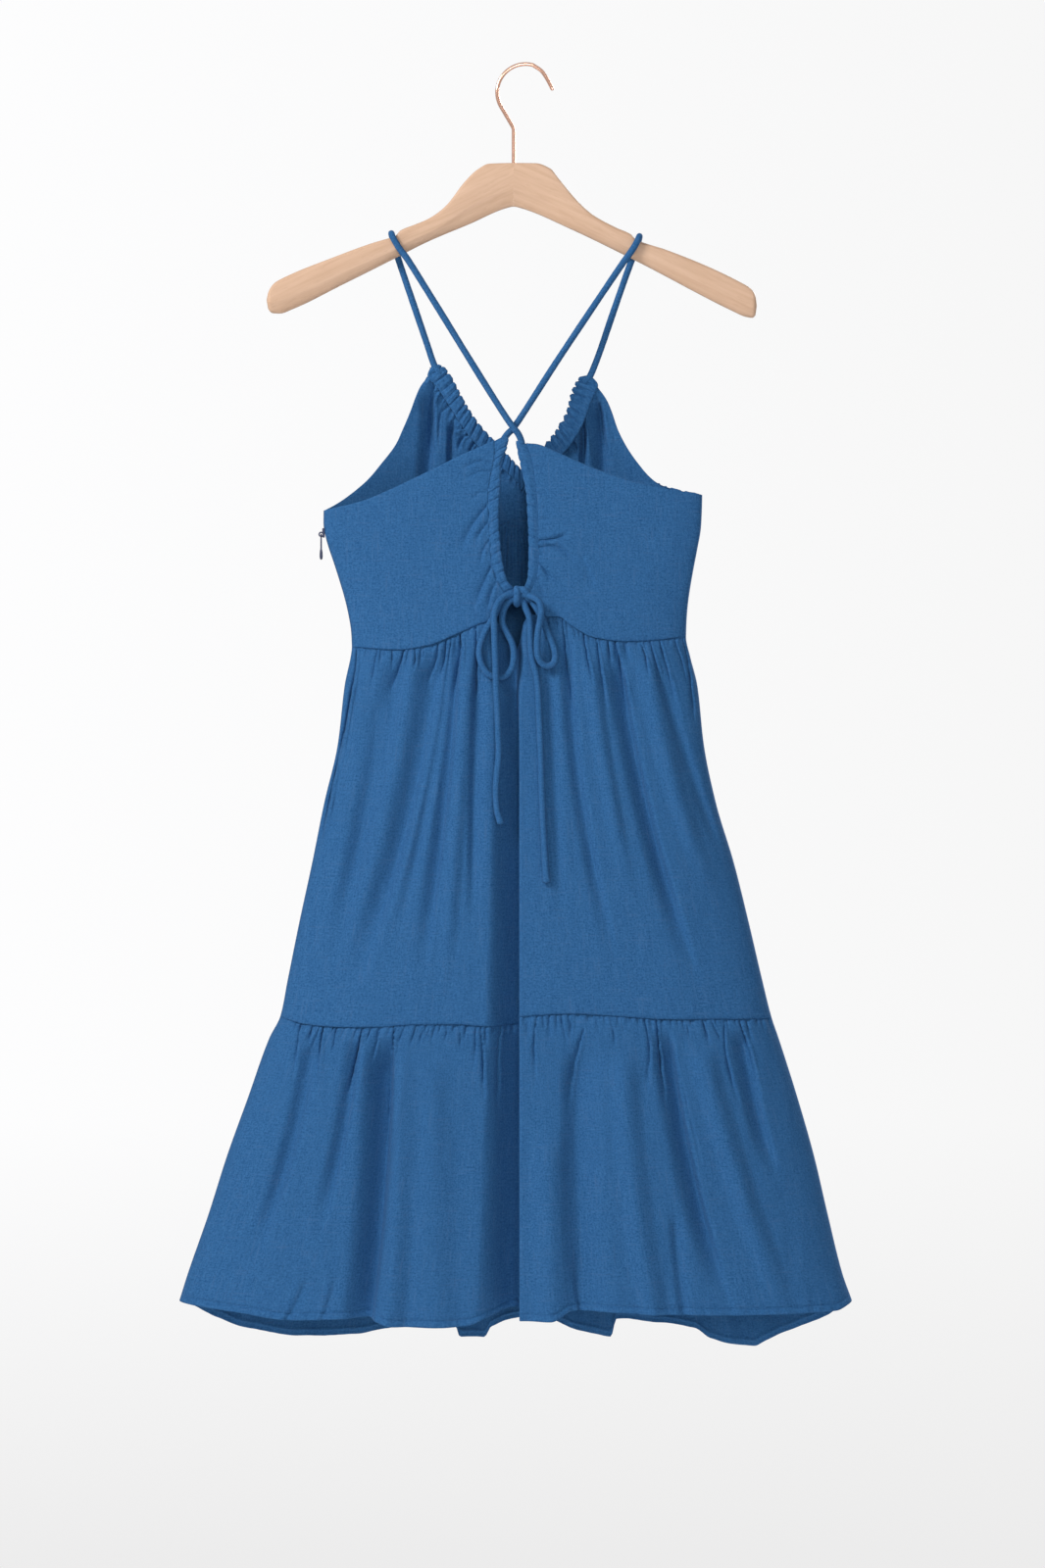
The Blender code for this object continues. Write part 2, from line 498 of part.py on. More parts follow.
def wide_grid(facing, top_edge, low_edge, pleats, rows, folds, reach, drop_gap):
    """Grid of a skirt or flounce panel between two seams that run from side to side."""
    grid = []
    columns = wide_columns(pleats, knife=facing < 0)
    for share in rows:
        row = []
        for column, height in columns:
            out = crowd(column)
            end = 0 if out < 0.0 else -1
            outline = OUTLINE_LEFT if out < 0.0 else OUTLINE_RIGHT
            top_x = MIDDLE + (top_edge[end][0] - MIDDLE) * abs(out)
            low_x = MIDDLE + (low_edge[end][0] - MIDDLE) * abs(out)
            top = follow(top_edge, top_x) + drop_gap
            drop = blend(top, follow(low_edge, low_x), share)
            side_drop = blend(top_edge[end][1] + drop_gap, low_edge[end][1], share)
            straight = blend(top_edge[end][0], low_edge[end][0], share)
            bow = follow(outline, side_drop) - straight
            x = blend(top_x, low_x, share) + bow * abs(out)
            pleat = PLEAT_HEIGHT * height * pleat_share(drop - top, reach)
            row.append((x, outer_y(x, drop, facing, folds, pleat), drop))
        grid.append(row)
    return grid


def patch_grid(facing, top, low, left, right, columns, rows, folds, reach=1.0):
    """Grid between four edges, each read from left to right or from top to bottom."""
    grid = []
    corners = [top.at(0.0), top.at(1.0), low.at(0.0), low.at(1.0)]
    for v in rows:
        row = []
        for u, height in columns:
            across = blend(top.at(u), low.at(u), v)
            down = blend(left.at(v), right.at(v), u)
            flat = blend(blend(corners[0], corners[1], u), blend(corners[2], corners[3], u), v)
            x, drop = across + down - flat
            below = (Vector((x, drop)) - top.at(u)).length
            pleat = PLEAT_HEIGHT * height * pleat_share(below, reach)
            row.append((x, outer_y(x, drop, facing, folds, pleat), drop))
        grid.append(row)
    return grid


def look(obj, colour, roughness, metallic=0.0):
    """Give an object its own plain material."""
    material = bpy.data.materials.new(obj.name)
    material.use_nodes = True
    shader = material.node_tree.nodes["Principled BSDF"]
    shader.inputs["Base Color"].default_value = (*colour, 1.0)
    shader.inputs["Roughness"].default_value = roughness
    shader.inputs["Metallic"].default_value = metallic
    material.diffuse_color = (*colour, 1.0)
    obj.data.materials.clear()
    obj.data.materials.append(material)


def add(name, data, group, parent=None):
    """Put mesh or curve data in the scene as a named object."""
    obj = bpy.data.objects.new(name, data)
    group.objects.link(obj)
    obj.parent = parent
    return obj


def mesh_from(name, bm):
    """Finish a bmesh as mesh data with its faces pointing out."""
    bmesh.ops.recalc_face_normals(bm, faces=bm.faces)
    mesh = bpy.data.meshes.new(name)
    bm.to_mesh(mesh)
    bm.free()
    mesh.shade_smooth()
    mesh.set_sharp_from_angle(angle=math.radians(50.0))
    return mesh


def grid_normals(points, facing):
    """Outward direction at each grid point, as long as the cloth's fold there needs."""
    last_row, last_column = len(points) - 1, len(points[0]) - 1
    cells = {}
    for r in range(last_row):
        for c in range(last_column):
            along = points[r][c + 1] + points[r + 1][c + 1] - points[r][c] - points[r + 1][c]
            down = points[r + 1][c] + points[r + 1][c + 1] - points[r][c] - points[r][c + 1]
            cells[r, c] = facing * along.cross(down).normalized()
    normals = []
    for r in range(last_row + 1):
        row = []
        for c in range(last_column + 1):
            near = [cells[a, b] for a in (r - 1, r) for b in (c - 1, c) if (a, b) in cells]
            mean = sum(near, Vector()) / len(near)
            row.append(mean.normalized() / max(0.75, mean.length))
        normals.append(row)
    return normals


def wall(name, grid, facing, group, parent):
    """One closed cloth wall. Its side rims stay square to the seam, so Solidify can't make it."""
    points = [[place(*point) for point in row] for row in grid]
    normals = grid_normals(points, facing)
    bm = bmesh.new()
    outer, inner = [], []
    rows, columns = len(grid), len(grid[0])
    for r, (grid_row, point_row, normal_row) in enumerate(zip(grid, points, normals)):
        outer.append([bm.verts.new(point) for point in point_row])
        inner_row = []
        for (x, y, _), point, normal in zip(grid_row, point_row, normal_row):
            if abs(y) < SEAM_GAP:
                normal = Vector((math.copysign(1.0, x), 0.0, 0.0))
            elif r in (0, rows - 1):
                normal = Vector((normal.x, normal.y, 0.0)).normalized()
            inner_row.append(bm.verts.new(point - normal * CLOTH * MM))
        inner.append(inner_row)
    for r in range(rows - 1):
        for c in range(columns - 1):
            for side in (outer, inner):
                a, b = side[r][c], side[r + 1][c]
                d, e = side[r + 1][c + 1], side[r][c + 1]
                bm.faces.new((a, b, d))
                bm.faces.new((a, d, e))
    rim = [(r, 0) for r in range(rows)] + [(rows - 1, c) for c in range(1, columns)]
    rim += [(r, columns - 1) for r in range(rows - 2, -1, -1)]
    rim += [(0, c) for c in range(columns - 2, 0, -1)]
    for (r, c), (s, d) in zip(rim, rim[1:] + rim[:1]):
        bm.faces.new((outer[r][c], inner[r][c], inner[s][d], outer[s][d]))
    obj = add(name, mesh_from(name, bm), group, parent)
    look(obj, BLUE, 0.9)
    return obj


def channel(name, stitched, opening, pleats, facing, group, parent):
    """A gathered drawcord channel: a flat oval tube that puckers across its length."""
    stitch_edge, open_edge = Route(stitched), Route(opening)
    rings = 2 * pleats + 1
    bm = bmesh.new()
    loops = []
    for index in range(rings):
        share = index / (rings - 1)
        pucker = (1.0 if index % 2 else -1.0) * uneven(index)
        edge, rim = stitch_edge.at(share), open_edge.at(share)
        across = (rim - edge).normalized()
        edge = edge + across * CHANNEL_INSET
        rim = rim + across * 0.5 * pucker
        centre, half = 0.5 * (edge + rim), 0.5 * (rim - edge)
        middle_y = outer_y(centre.x, centre.y, facing) - facing * 0.5 * CLOTH
        thick = 0.5 * CHANNEL_THICK * (1.0 + 0.2 * pucker)
        loop = []
        for corner in range(6):
            angle = math.radians(60.0 * corner)
            x, drop = centre + half * math.cos(angle)
            loop.append(bm.verts.new(place(x, middle_y + thick * math.sin(angle), drop)))
        loops.append(loop)
    for first, second in zip(loops, loops[1:]):
        for corner in range(6):
            after = (corner + 1) % 6
            bm.faces.new((first[corner], first[after], second[after], second[corner]))
    bm.faces.new(loops[0])
    bm.faces.new(loops[-1])
    obj = add(name, mesh_from(name, bm), group, parent)
    look(obj, BLUE, 0.9)
    return obj


def tube(name, points, diameter, spacing, group, parent):
    """A round cord or wire as a curve with filled ends, on a smooth route through its points."""
    route = Route(points)
    shares = route.marks(spacing)
    curve = bpy.data.curves.new(name, "CURVE")
    curve.dimensions = "3D"
    curve.bevel_depth = 0.5 * diameter * MM
    curve.bevel_resolution = 2
    curve.use_fill_caps = True
    spline = curve.splines.new("POLY")
    spline.points.add(len(shares) - 1)
    for share, point in zip(shares, spline.points):
        point.co = (*place(*route.at(share)), 1.0)
    return add(name, curve, group, parent)


def build_skirt(group, parent):
    """The upper tier and the flounce, back and front."""
    tiers = [
        ("skirt_back", -1, WAIST_BACK, TIER_BACK, WAIST_PLEATS, SKIRT_ROWS, SKIRT_BACK_FOLDS,
         SKIRT_PLEAT_REACH, 0.0),
        ("skirt_front", 1, WAIST_FRONT, TIER_FRONT, WAIST_PLEATS, SKIRT_ROWS, SKIRT_FRONT_FOLDS,
         SKIRT_PLEAT_REACH, 0.0),
        ("flounce_back", -1, TIER_BACK, HEM_BACK, TIER_PLEATS, FLOUNCE_ROWS, FLOUNCE_BACK_FOLDS,
         FLOUNCE_PLEAT_REACH, SEAM_GAP),
        ("flounce_front", 1, TIER_FRONT, HEM_FRONT, TIER_PLEATS, FLOUNCE_ROWS,
         FLOUNCE_FRONT_FOLDS, FLOUNCE_PLEAT_REACH, SEAM_GAP),
    ]
    for name, facing, top, low, pleats, rows, folds, reach, gap in tiers:
        grid = wide_grid(facing, top, low, pleats, rows, folds, reach, gap)
        wall(name, grid, facing, group, parent)


def seam_edge(seam, start, end, lift):
    """A bodice panel's low edge, read along a seam and held a little above it."""
    steps = 16
    places = [blend(start, end, step / steps) for step in range(steps + 1)]
    return Route([(x, follow(seam, x) - lift) for x in places])


def side_edge(outline, top, low):
    """A bodice panel's side seam, read along the outline."""
    steps = 8
    drops = [blend(top, low, step / steps) for step in range(steps + 1)]
    return Route([(follow(outline, drop), drop) for drop in drops])


def build_bodice(group, parent):
    """Back panels, front cups and the four gathered channels."""
    lift = SEAM_LIFT
    flat = [(index / BODICE_COLUMNS, 0.0) for index in range(BODICE_COLUMNS + 1)]
    waist_left, waist_right = WAIST_BACK[0], WAIST_BACK[-1]
    left_side = side_edge(OUTLINE_LEFT, BACK_TOP_LEFT[0][1], waist_left[1] - lift)
    right_side = side_edge(OUTLINE_RIGHT, BACK_TOP_RIGHT[-1][1], waist_right[1] - lift)

    left_inner = Corner(Route(BACK_STITCH_LEFT),
                        Route([BACK_STITCH_LEFT[-1], (-20.9, 504.6 - lift)]), CHANNEL_END)
    grid = patch_grid(-1, Route(BACK_TOP_LEFT), seam_edge(WAIST_BACK, waist_left[0], -20.9, lift),
                      left_side, left_inner, flat, BODICE_ROWS, ())
    wall("back_bodice_left", grid, -1, group, parent)

    right_inner = Corner(Route(BACK_STITCH_RIGHT),
                         Route([BACK_STITCH_RIGHT[-1], (26.6, 500.5 - lift)]), CHANNEL_END)
    grid = patch_grid(-1, Route(BACK_TOP_RIGHT), seam_edge(WAIST_BACK, 26.6, waist_right[0], lift),
                      right_inner, right_side, flat, BODICE_ROWS, ())
    wall("back_bodice_right", grid, -1, group, parent)

    pleated = [(0.0, 0.0)] + pleated_run(0.0, 1.0, CUP_PLEATS)
    neck_drop = NECK_STITCH_LEFT[-1][1]
    left_x, right_x = MIDDLE + 0.85, MIDDLE + 1.15
    arch_left = follow(WAIST_FRONT, left_x) - lift
    arch_right = follow(WAIST_FRONT, right_x) - lift
    armhole = Corner(Route(ARMHOLE_LEFT),
                     side_edge(OUTLINE_LEFT, ARMHOLE_LEFT[-1][1], waist_left[1] - lift))
    neck = Route([ARMHOLE_LEFT[0]] + NECK_STITCH_LEFT[1:-1] + [(left_x, neck_drop)])
    grid = patch_grid(1, neck, seam_edge(WAIST_FRONT, waist_left[0], left_x, lift), armhole,
                      Route([(left_x, neck_drop), (left_x, arch_left)]), pleated, CUP_ROWS,
                      CUP_FOLDS, CUP_PLEAT_REACH)
    wall("front_cup_left", grid, 1, group, parent)

    armhole = Corner(Route(ARMHOLE_RIGHT),
                     side_edge(OUTLINE_RIGHT, ARMHOLE_RIGHT[-1][1], waist_right[1] - lift))
    neck = Route([(right_x, neck_drop)] + NECK_STITCH_RIGHT[-2:0:-1] + [ARMHOLE_RIGHT[0]])
    grid = patch_grid(1, neck, seam_edge(WAIST_FRONT, right_x, waist_right[0], lift),
                      Route([(right_x, neck_drop), (right_x, arch_right)]), armhole, pleated,
                      CUP_ROWS, CUP_FOLDS, CUP_PLEAT_REACH)
    wall("front_cup_right", grid, 1, group, parent)

    channels = [
        ("back_casing_left", BACK_STITCH_LEFT, BACK_OPEN_LEFT, BACK_CHANNEL_PLEATS, -1),
        ("back_casing_right", BACK_STITCH_RIGHT, BACK_OPEN_RIGHT, BACK_CHANNEL_PLEATS, -1),
        ("front_casing_left", NECK_STITCH_LEFT, NECK_OPEN_LEFT, NECK_CHANNEL_PLEATS, 1),
        ("front_casing_right", NECK_STITCH_RIGHT, NECK_OPEN_RIGHT, NECK_CHANNEL_PLEATS, 1),
    ]
    for name, stitched, opening, pleats, facing in channels:
        channel(name, stitched, opening, pleats, facing, group, parent)


def seated(points):
    """The bow's points, stepped to where the channels let the cord out."""
    return [tuple(value + step for value, step in zip(point, BOW_SEAT)) for point in points]


def build_cords(group, parent):
    """The two straps, and the drawcord's knot, loops and tails."""
    cords = [
        ("strap_left", STRAP_LEFT, STRAP_SPACING), ("strap_right", STRAP_RIGHT, STRAP_SPACING),
        ("bow_loop_left", seated(LOOP_LEFT), BOW_SPACING),
        ("bow_loop_right", seated(LOOP_RIGHT), BOW_SPACING),
        ("bow_tail_left", seated(TAIL_LEFT), TAIL_SPACING),
        ("bow_tail_right", seated(TAIL_RIGHT), TAIL_SPACING),
    ]
    for name, points, spacing in cords:
        look(tube(name, points, CORD, spacing, group, parent), BLUE_DARK, 0.85)
    bm = bmesh.new()
    bmesh.ops.create_uvsphere(bm, u_segments=12, v_segments=8, radius=0.5)
    bmesh.ops.scale(bm, vec=Vector(KNOT_SIZE) * MM, verts=bm.verts)
    knot = add("bow_knot", mesh_from("bow_knot", bm), group, parent)
    knot.location = place(*seated([KNOT_CENTRE])[0])
    look(knot, BLUE_DARK, 0.85)


def closed_mesh(obj, group, parent):
    """Turn a curve object into a mesh object of the same name, with its caps welded on."""
    view = bpy.context.evaluated_depsgraph_get()
    mesh = bpy.data.meshes.new_from_object(obj.evaluated_get(view))
    mesh.transform(obj.matrix_world)
    name = obj.name
    bpy.data.objects.remove(obj)
    bm = bmesh.new()
    bm.from_mesh(mesh)
    bmesh.ops.remove_doubles(bm, verts=bm.verts, dist=0.00001)
    bpy.data.meshes.remove(mesh)
    return add(name, mesh_from(name, bm), group, parent)


def cut(obj, cutter):
    """Take a cutter's shape out of an object."""
    boolean = obj.modifiers.new("cut", "BOOLEAN")
    boolean.operation = "DIFFERENCE"
    boolean.object = cutter


def hide(obj):
    """Mark an object as a cutter."""
    obj.hide_render = True
    obj.display_type = "WIRE"


def build_hanger(group, cutters, parent):
    """Two arms cut from one outline and mitred at the stem, and the wire hook."""
    curve = bpy.data.curves.new("hanger_outline", "CURVE")
    curve.dimensions = "2D"
    curve.fill_mode = "BOTH"
    curve.extrude = (0.5 * HANGER_THICK - HANGER_ROUND) * MM
    curve.bevel_depth = HANGER_ROUND * MM
    curve.bevel_resolution = 1
    curve.offset = -HANGER_ROUND * MM
    spline = curve.splines.new("POLY")
    spline.points.add(len(HANGER_OUTLINE) - 1)
    spline.use_cyclic_u = True
    for point, (x, drop) in zip(spline.points, HANGER_OUTLINE):
        flat = place(x, 0.0, drop)
        point.co = (flat.x, flat.z, 0.0, 1.0)
    outline = add("hanger_blank", curve, group)
    outline.rotation_euler.x = math.radians(90.0)
    bpy.context.view_layer.update()
    blank = closed_mesh(outline, group, parent)

    bpy.ops.mesh.primitive_cylinder_add(vertices=16, radius=(0.5 * HOOK_WIRE + SEAM_GAP) * MM,
                                        depth=2.0 * (STEM_SOCKET - 88.0) * MM)
    socket = bpy.context.object
    socket.name = "stem_socket"
    socket.location = place(0.0, 0.0, 88.0)
    for owner in list(socket.users_collection):
        owner.objects.unlink(socket)
    cutters.objects.link(socket)
    hide(socket)

    for name, side in (("hanger_arm_left", -1.0), ("hanger_arm_right", 1.0)):
        bm = bmesh.new()
        bm.from_mesh(blank.data)
        edge = place(side * 0.5 * MITRE_GAP, 0.0, 0.0)
        geometry = list(bm.verts) + list(bm.edges) + list(bm.faces)
        halved = bmesh.ops.bisect_plane(bm, geom=geometry, dist=0.000001, plane_co=edge,
                                        plane_no=(-side, 0.0, 0.0), clear_outer=True)
        rim = [item for item in halved["geom_cut"] if isinstance(item, bmesh.types.BMEdge)]
        bmesh.ops.contextual_create(bm, geom=rim)
        arm = add(name, mesh_from(name, bm), group, parent)
        cut(arm, socket)
        look(arm, BEECH, 0.55)
    bpy.data.objects.remove(blank)

    radius = HOOK_INSIDE + 0.5 * HOOK_WIRE
    steps = 18
    points = []
    for step in range(steps + 1):
        angle = math.radians(blend(HOOK_TIP_ANGLE, HOOK_LAST_ANGLE, step / steps))
        points.append((STEM_SIDE + radius * math.cos(angle), 0.0,
                       HOOK_INSIDE - radius * math.sin(angle)))
    last_x, _, last_drop = points[-1]
    for share in (0.5, 0.8):
        points.append((blend(last_x, 0.0, share), 0.0, blend(last_drop, HOOK_BEND_DROP, share)))
    for drop in (HOOK_BEND_DROP + 2.5, HOOK_BEND_DROP + 8.0, 80.0, 95.0, STEM_DROP):
        points.append((0.0, 0.0, drop))
    look(tube("hanger_hook", points, HOOK_WIRE, 6.0, group, parent), ROSE_GOLD, 0.2, 1.0)


def block(name, size, centre, group):
    """A box of a given size in millimetres, about a centre in the tables' own terms."""
    bpy.ops.mesh.primitive_cube_add(size=1.0)
    obj = bpy.context.object
    obj.name = name
    obj.data.transform(Matrix.Diagonal((*(side * MM for side in size), 1.0)))
    obj.location = place(*centre)
    for owner in list(obj.users_collection):
        owner.objects.unlink(obj)
    group.objects.link(obj)
    return obj


def ring_pin(name, radius, wide, group):
    """A short cylinder along Y, on the tab's pivot."""
    bpy.ops.mesh.primitive_cylinder_add(vertices=16, radius=radius * MM, depth=wide * MM)
    obj = bpy.context.object
    obj.name = name
    obj.rotation_euler.x = math.radians(90.0)
    obj.location = place(TAB_PIVOT_X, 0.0, TAB_PIVOT_DROP)
    for owner in list(obj.users_collection):
        owner.objects.unlink(obj)
    group.objects.link(obj)
    return obj


def build_zip(group, cutters, parent):
    """The slider with its bridge, and the tab that hangs from the bridge."""
    wide, deep, tall = SLIDER_SIZE
    face_x = TAB_PIVOT_X + SLIDER_FACE
    centre = (face_x + 0.5 * wide, 0.0, TAB_PIVOT_DROP + SLIDER_BELOW - 0.5 * tall)
    slider = block("zip_slider", (wide, deep, tall), centre, group)
    slider.parent = parent
    bevel = slider.modifiers.new("soft edges", "BEVEL")
    bevel.width = 0.5 * MM
    bevel.segments = 2
    bridge = ring_pin("bridge_outside", BRIDGE_OUTSIDE, BRIDGE_WIDE, cutters)
    join = slider.modifiers.new("bridge", "BOOLEAN")
    join.operation = "UNION"
    join.object = bridge
    eye = ring_pin("bridge_eye", BRIDGE_INSIDE, 3.0 * BRIDGE_WIDE, cutters)
    cut(slider, eye)
    look(slider, BLUE_DARK, 0.4, 0.3)

    thin, broad, long = TAB_SIZE
    pivot = (TAB_PIVOT_X, 0.0, TAB_PIVOT_DROP)
    tab = block("zip_pull", (thin, broad, long), pivot, group)
    tab.data.transform(Matrix.Translation((0.0, 0.0, 0.5 * (TAB_BAR - long) * MM)))
    tab.parent = parent
    window_wide, window_tall = TAB_WINDOW
    window_drop = TAB_PIVOT_DROP + 0.5 * (TAB_BAR + window_tall)
    window = block("tab_window", (3.0 * thin, window_wide, window_tall),
                   (TAB_PIVOT_X, 0.0, window_drop), cutters)
    cut(tab, window)
    look(tab, BLUE_DARK, 0.4, 0.3)
    for cutter in (bridge, eye, window):
        hide(cutter)


def main():
    """Build the dress on its hanger."""
    for obj in list(bpy.data.objects):
        bpy.data.objects.remove(obj)
    group = bpy.data.collections.new("spaghetti_strap_dress")
    cutters = bpy.data.collections.new("cutters")
    for collection in (group, cutters):
        bpy.context.scene.collection.children.link(collection)
    hang_point = bpy.data.objects.new("hang_point", None)
    group.objects.link(hang_point)
    build_hanger(group, cutters, hang_point)
    build_skirt(group, hang_point)
    build_bodice(group, hang_point)
    build_cords(group, hang_point)
    build_zip(group, cutters, hang_point)


main()
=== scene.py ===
"""Looks of a spaghetti strap dress that hangs, back to the viewer, on a pale wooden hanger.

Tables are in millimetres: x is measured from the hanger's centre line, and drop is measured down
from the point where the hook bears, which is the origin. The back of the dress faces -Y. Each panel
is a fine grid on the garment's form, which gathers, folds and creases push in or out.
"""

import json
import logging
import math
from dataclasses import dataclass, field
from enum import Enum

import bmesh
import bpy
import numpy as np
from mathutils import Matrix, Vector

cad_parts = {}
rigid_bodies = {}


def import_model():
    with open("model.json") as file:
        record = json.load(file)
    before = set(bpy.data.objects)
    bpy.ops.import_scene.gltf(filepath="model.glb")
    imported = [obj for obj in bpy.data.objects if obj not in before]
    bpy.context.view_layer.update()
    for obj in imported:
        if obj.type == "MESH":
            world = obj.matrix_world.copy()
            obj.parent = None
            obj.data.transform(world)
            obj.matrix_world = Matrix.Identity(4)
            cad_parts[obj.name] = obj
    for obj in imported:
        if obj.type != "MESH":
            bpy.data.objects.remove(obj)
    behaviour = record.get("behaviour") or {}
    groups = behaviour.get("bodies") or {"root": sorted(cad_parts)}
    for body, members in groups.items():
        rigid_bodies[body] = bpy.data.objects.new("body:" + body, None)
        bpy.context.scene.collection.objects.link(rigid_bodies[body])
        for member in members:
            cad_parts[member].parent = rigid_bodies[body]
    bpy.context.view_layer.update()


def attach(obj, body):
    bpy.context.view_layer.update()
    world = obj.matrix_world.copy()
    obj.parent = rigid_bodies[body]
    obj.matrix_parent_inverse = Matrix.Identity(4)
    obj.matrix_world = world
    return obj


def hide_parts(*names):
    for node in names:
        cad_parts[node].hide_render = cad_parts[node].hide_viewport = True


LOG = logging.getLogger("dress")
MM = 0.001
BODY = "dress"
PULL_BODY = "zip_pull"

# The garment's own driving sizes, in millimetres
STEM_SIDE = 10.8
MIDDLE = 6.0
ROUNDING = 2.6
SEAM_GAP = 0.3
SEAM_LIFT = 0.7
ON_SEAM = 1.2
CLOTH = 0.9
CORD = 6.0

# A crease's profile, in shares of its length and of its reach
CREASE_STEPS = 25
CREASE_RISE = (-0.3, 0.06)
CREASE_FALL = (0.45, 1.0)
CREASE_MARGIN = 4.0
NARROW_START = 0.55
WIDENING = 0.9
TROUGH_WIDTH = 0.5
LIP_PLACE = 1.1
LIP_WIDTH = 0.7
LIP_HEIGHT = 0.28

Rows = tuple[tuple[float, ...], ...]


class Side(Enum):
    """Which half of the dress a panel belongs to, as the sign of the way that it faces."""

    BACK = -1.0
    FRONT = 1.0


class Edge(Enum):
    """An edge of a bodice panel."""

    TOP = "top"
    LOW = "low"
    LEFT = "left"
    RIGHT = "right"


class Coordinates(Enum):
    """What a material's pattern follows."""

    OBJECT = "object"
    WEAVE = "weave"


# Outline of the hanging dress: drop, x
OUTLINE_LEFT: Rows = (
    (260, -171.4), (403, -171.4), (419.8, -171.2), (442, -164.7), (468.7, -156.3), (495.3, -149.2),
    (523.7, -145.6), (562, -152.3), (615, -158.5), (668.5, -170.9), (721.8, -181.6), (775, -193.1),
    (828, -203.8), (861.2, -210.5), (881.6, -220.7), (934.9, -239.8), (988, -258.9), (1041, -275.7),
    (1094.7, -294.4), (1118.7, -301.9), (1180, -321),
)
OUTLINE_RIGHT: Rows = (
    (260, 170.1), (388.8, 170.1), (419.8, 168.7), (442, 164.7), (468.7, 159.8), (495.3, 156.3),
    (517.5, 155.3), (535.3, 159), (562, 165.6), (615, 171.4), (668.5, 182.5), (721.8, 198.5),
    (775, 211.8), (828, 224.2), (862.1, 232.7), (881.6, 239.3), (934.9, 256.2), (988, 271.3),
    (1041, 283.7), (1094.7, 297), (1118.7, 305.5), (1180, 325),
)

# Half depth of the hanging dress: drop, distance from the plane of the side seams
DEPTH_BACK: Rows = (
    (330, 13), (400, 15), (460, 18), (520, 22), (600, 30), (700, 38), (865, 47), (1000, 53),
    (1170, 58),
)
DEPTH_FRONT: Rows = (
    (260, 9.5), (300, 13), (340, 17), (400, 21), (460, 24), (520, 24), (600, 31), (700, 39),
    (870, 49), (1000, 55), (1180, 60),
)

# Seams and hems across the dress: x, drop
WAIST_BACK: Rows = (
    (-145.8, 527.6), (-103.9, 530.4), (-76.6, 526.3), (-49.4, 515.4), (-30.4, 507.2),
    (-20.9, 504.6), (-12, 511), (-3, 525), (3, 531), (6.5, 524), (9.5, 508), (14, 502.4),
    (19, 500.8), (26.6, 500.5), (40.3, 500.8), (53.9, 510), (72.8, 519.5), (100, 522.8),
    (127, 521.7), (155.3, 517.5),
)
WAIST_FRONT: Rows = (
    (-145.8, 527.6), (-110, 501.5), (-65.7, 459.8), (-30.2, 427.8), (7, 412.7), (45, 427.8),
    (80.8, 458), (120.8, 498), (155.3, 517.5),
)
TIER_BACK: Rows = (
    (-210.5, 861.2), (-187.5, 866.5), (-155, 868.5), (-121, 868), (-87, 865.6), (-53, 865.2),
    (-20, 867), (1, 866.5), (6, 858.6), (53, 855.8), (91, 857.9), (136, 861), (181, 861.5),
    (232.7, 862.1),
)
TIER_FRONT: Rows = (
    (-210.5, 861.2), (-150, 876), (-60, 882), (10, 884), (80, 882), (160, 877), (232.7, 862.1),
)
HEM_BACK: Rows = (
    (-301.9, 1118.7), (-247, 1123.8), (-200, 1129.2), (-133, 1127.3), (-108, 1133.3),
    (-64.5, 1133.8), (-42, 1132.5), (-20, 1124.7), (-1, 1120), (6, 1128.2), (33, 1128.2),
    (52.5, 1119.5), (80, 1120.5), (134, 1123.2), (219, 1125), (289, 1124.5), (305.5, 1118.7),
)
HEM_FRONT: Rows = (
    (-301.9, 1118.7), (-272, 1138.7), (-238.5, 1151.5), (-190.5, 1159.8), (-158, 1158.6),
    (-119, 1153.6), (-85, 1149), (-54, 1151.5), (-50, 1161.6), (-28, 1161.2), (-20.6, 1150.4),
    (14, 1143), (33, 1146), (60, 1155.6), (89.5, 1160.4), (94.5, 1144), (132, 1148.3),
    (167, 1152.6), (181.6, 1161.8), (222, 1168), (230, 1163.8), (262, 1148.3), (287, 1136),
    (305.5, 1118.7),
)

# Free edges of the bodice: x, drop
BACK_TOP_LEFT: Rows = (
    (-171.4, 403), (-131, 393.2), (-76.6, 368.6), (-49.4, 355), (-17.5, 340.8),
)
BACK_TOP_RIGHT: Rows = (
    (12, 343.5), (26.6, 345.9), (59.3, 360.5), (91.9, 372.8), (127.3, 382.2), (170.1, 388.8),
)
ARMHOLE_LEFT: Rows = (
    (-79, 281.4), (-84.6, 288.6), (-89.4, 299), (-93.8, 310.4), (-101.2, 327.6), (-108.2, 342.4),
    (-120.4, 358.6), (-134.2, 375), (-153.6, 391.2), (-171.4, 403),
)
ARMHOLE_RIGHT: Rows = (
    (75.8, 289), (84.2, 300.4), (89.6, 312), (95.2, 328), (103.2, 343.6), (112.6, 357.4),
    (124, 371), (136, 379.6), (152, 385), (170.1, 388.8),
)

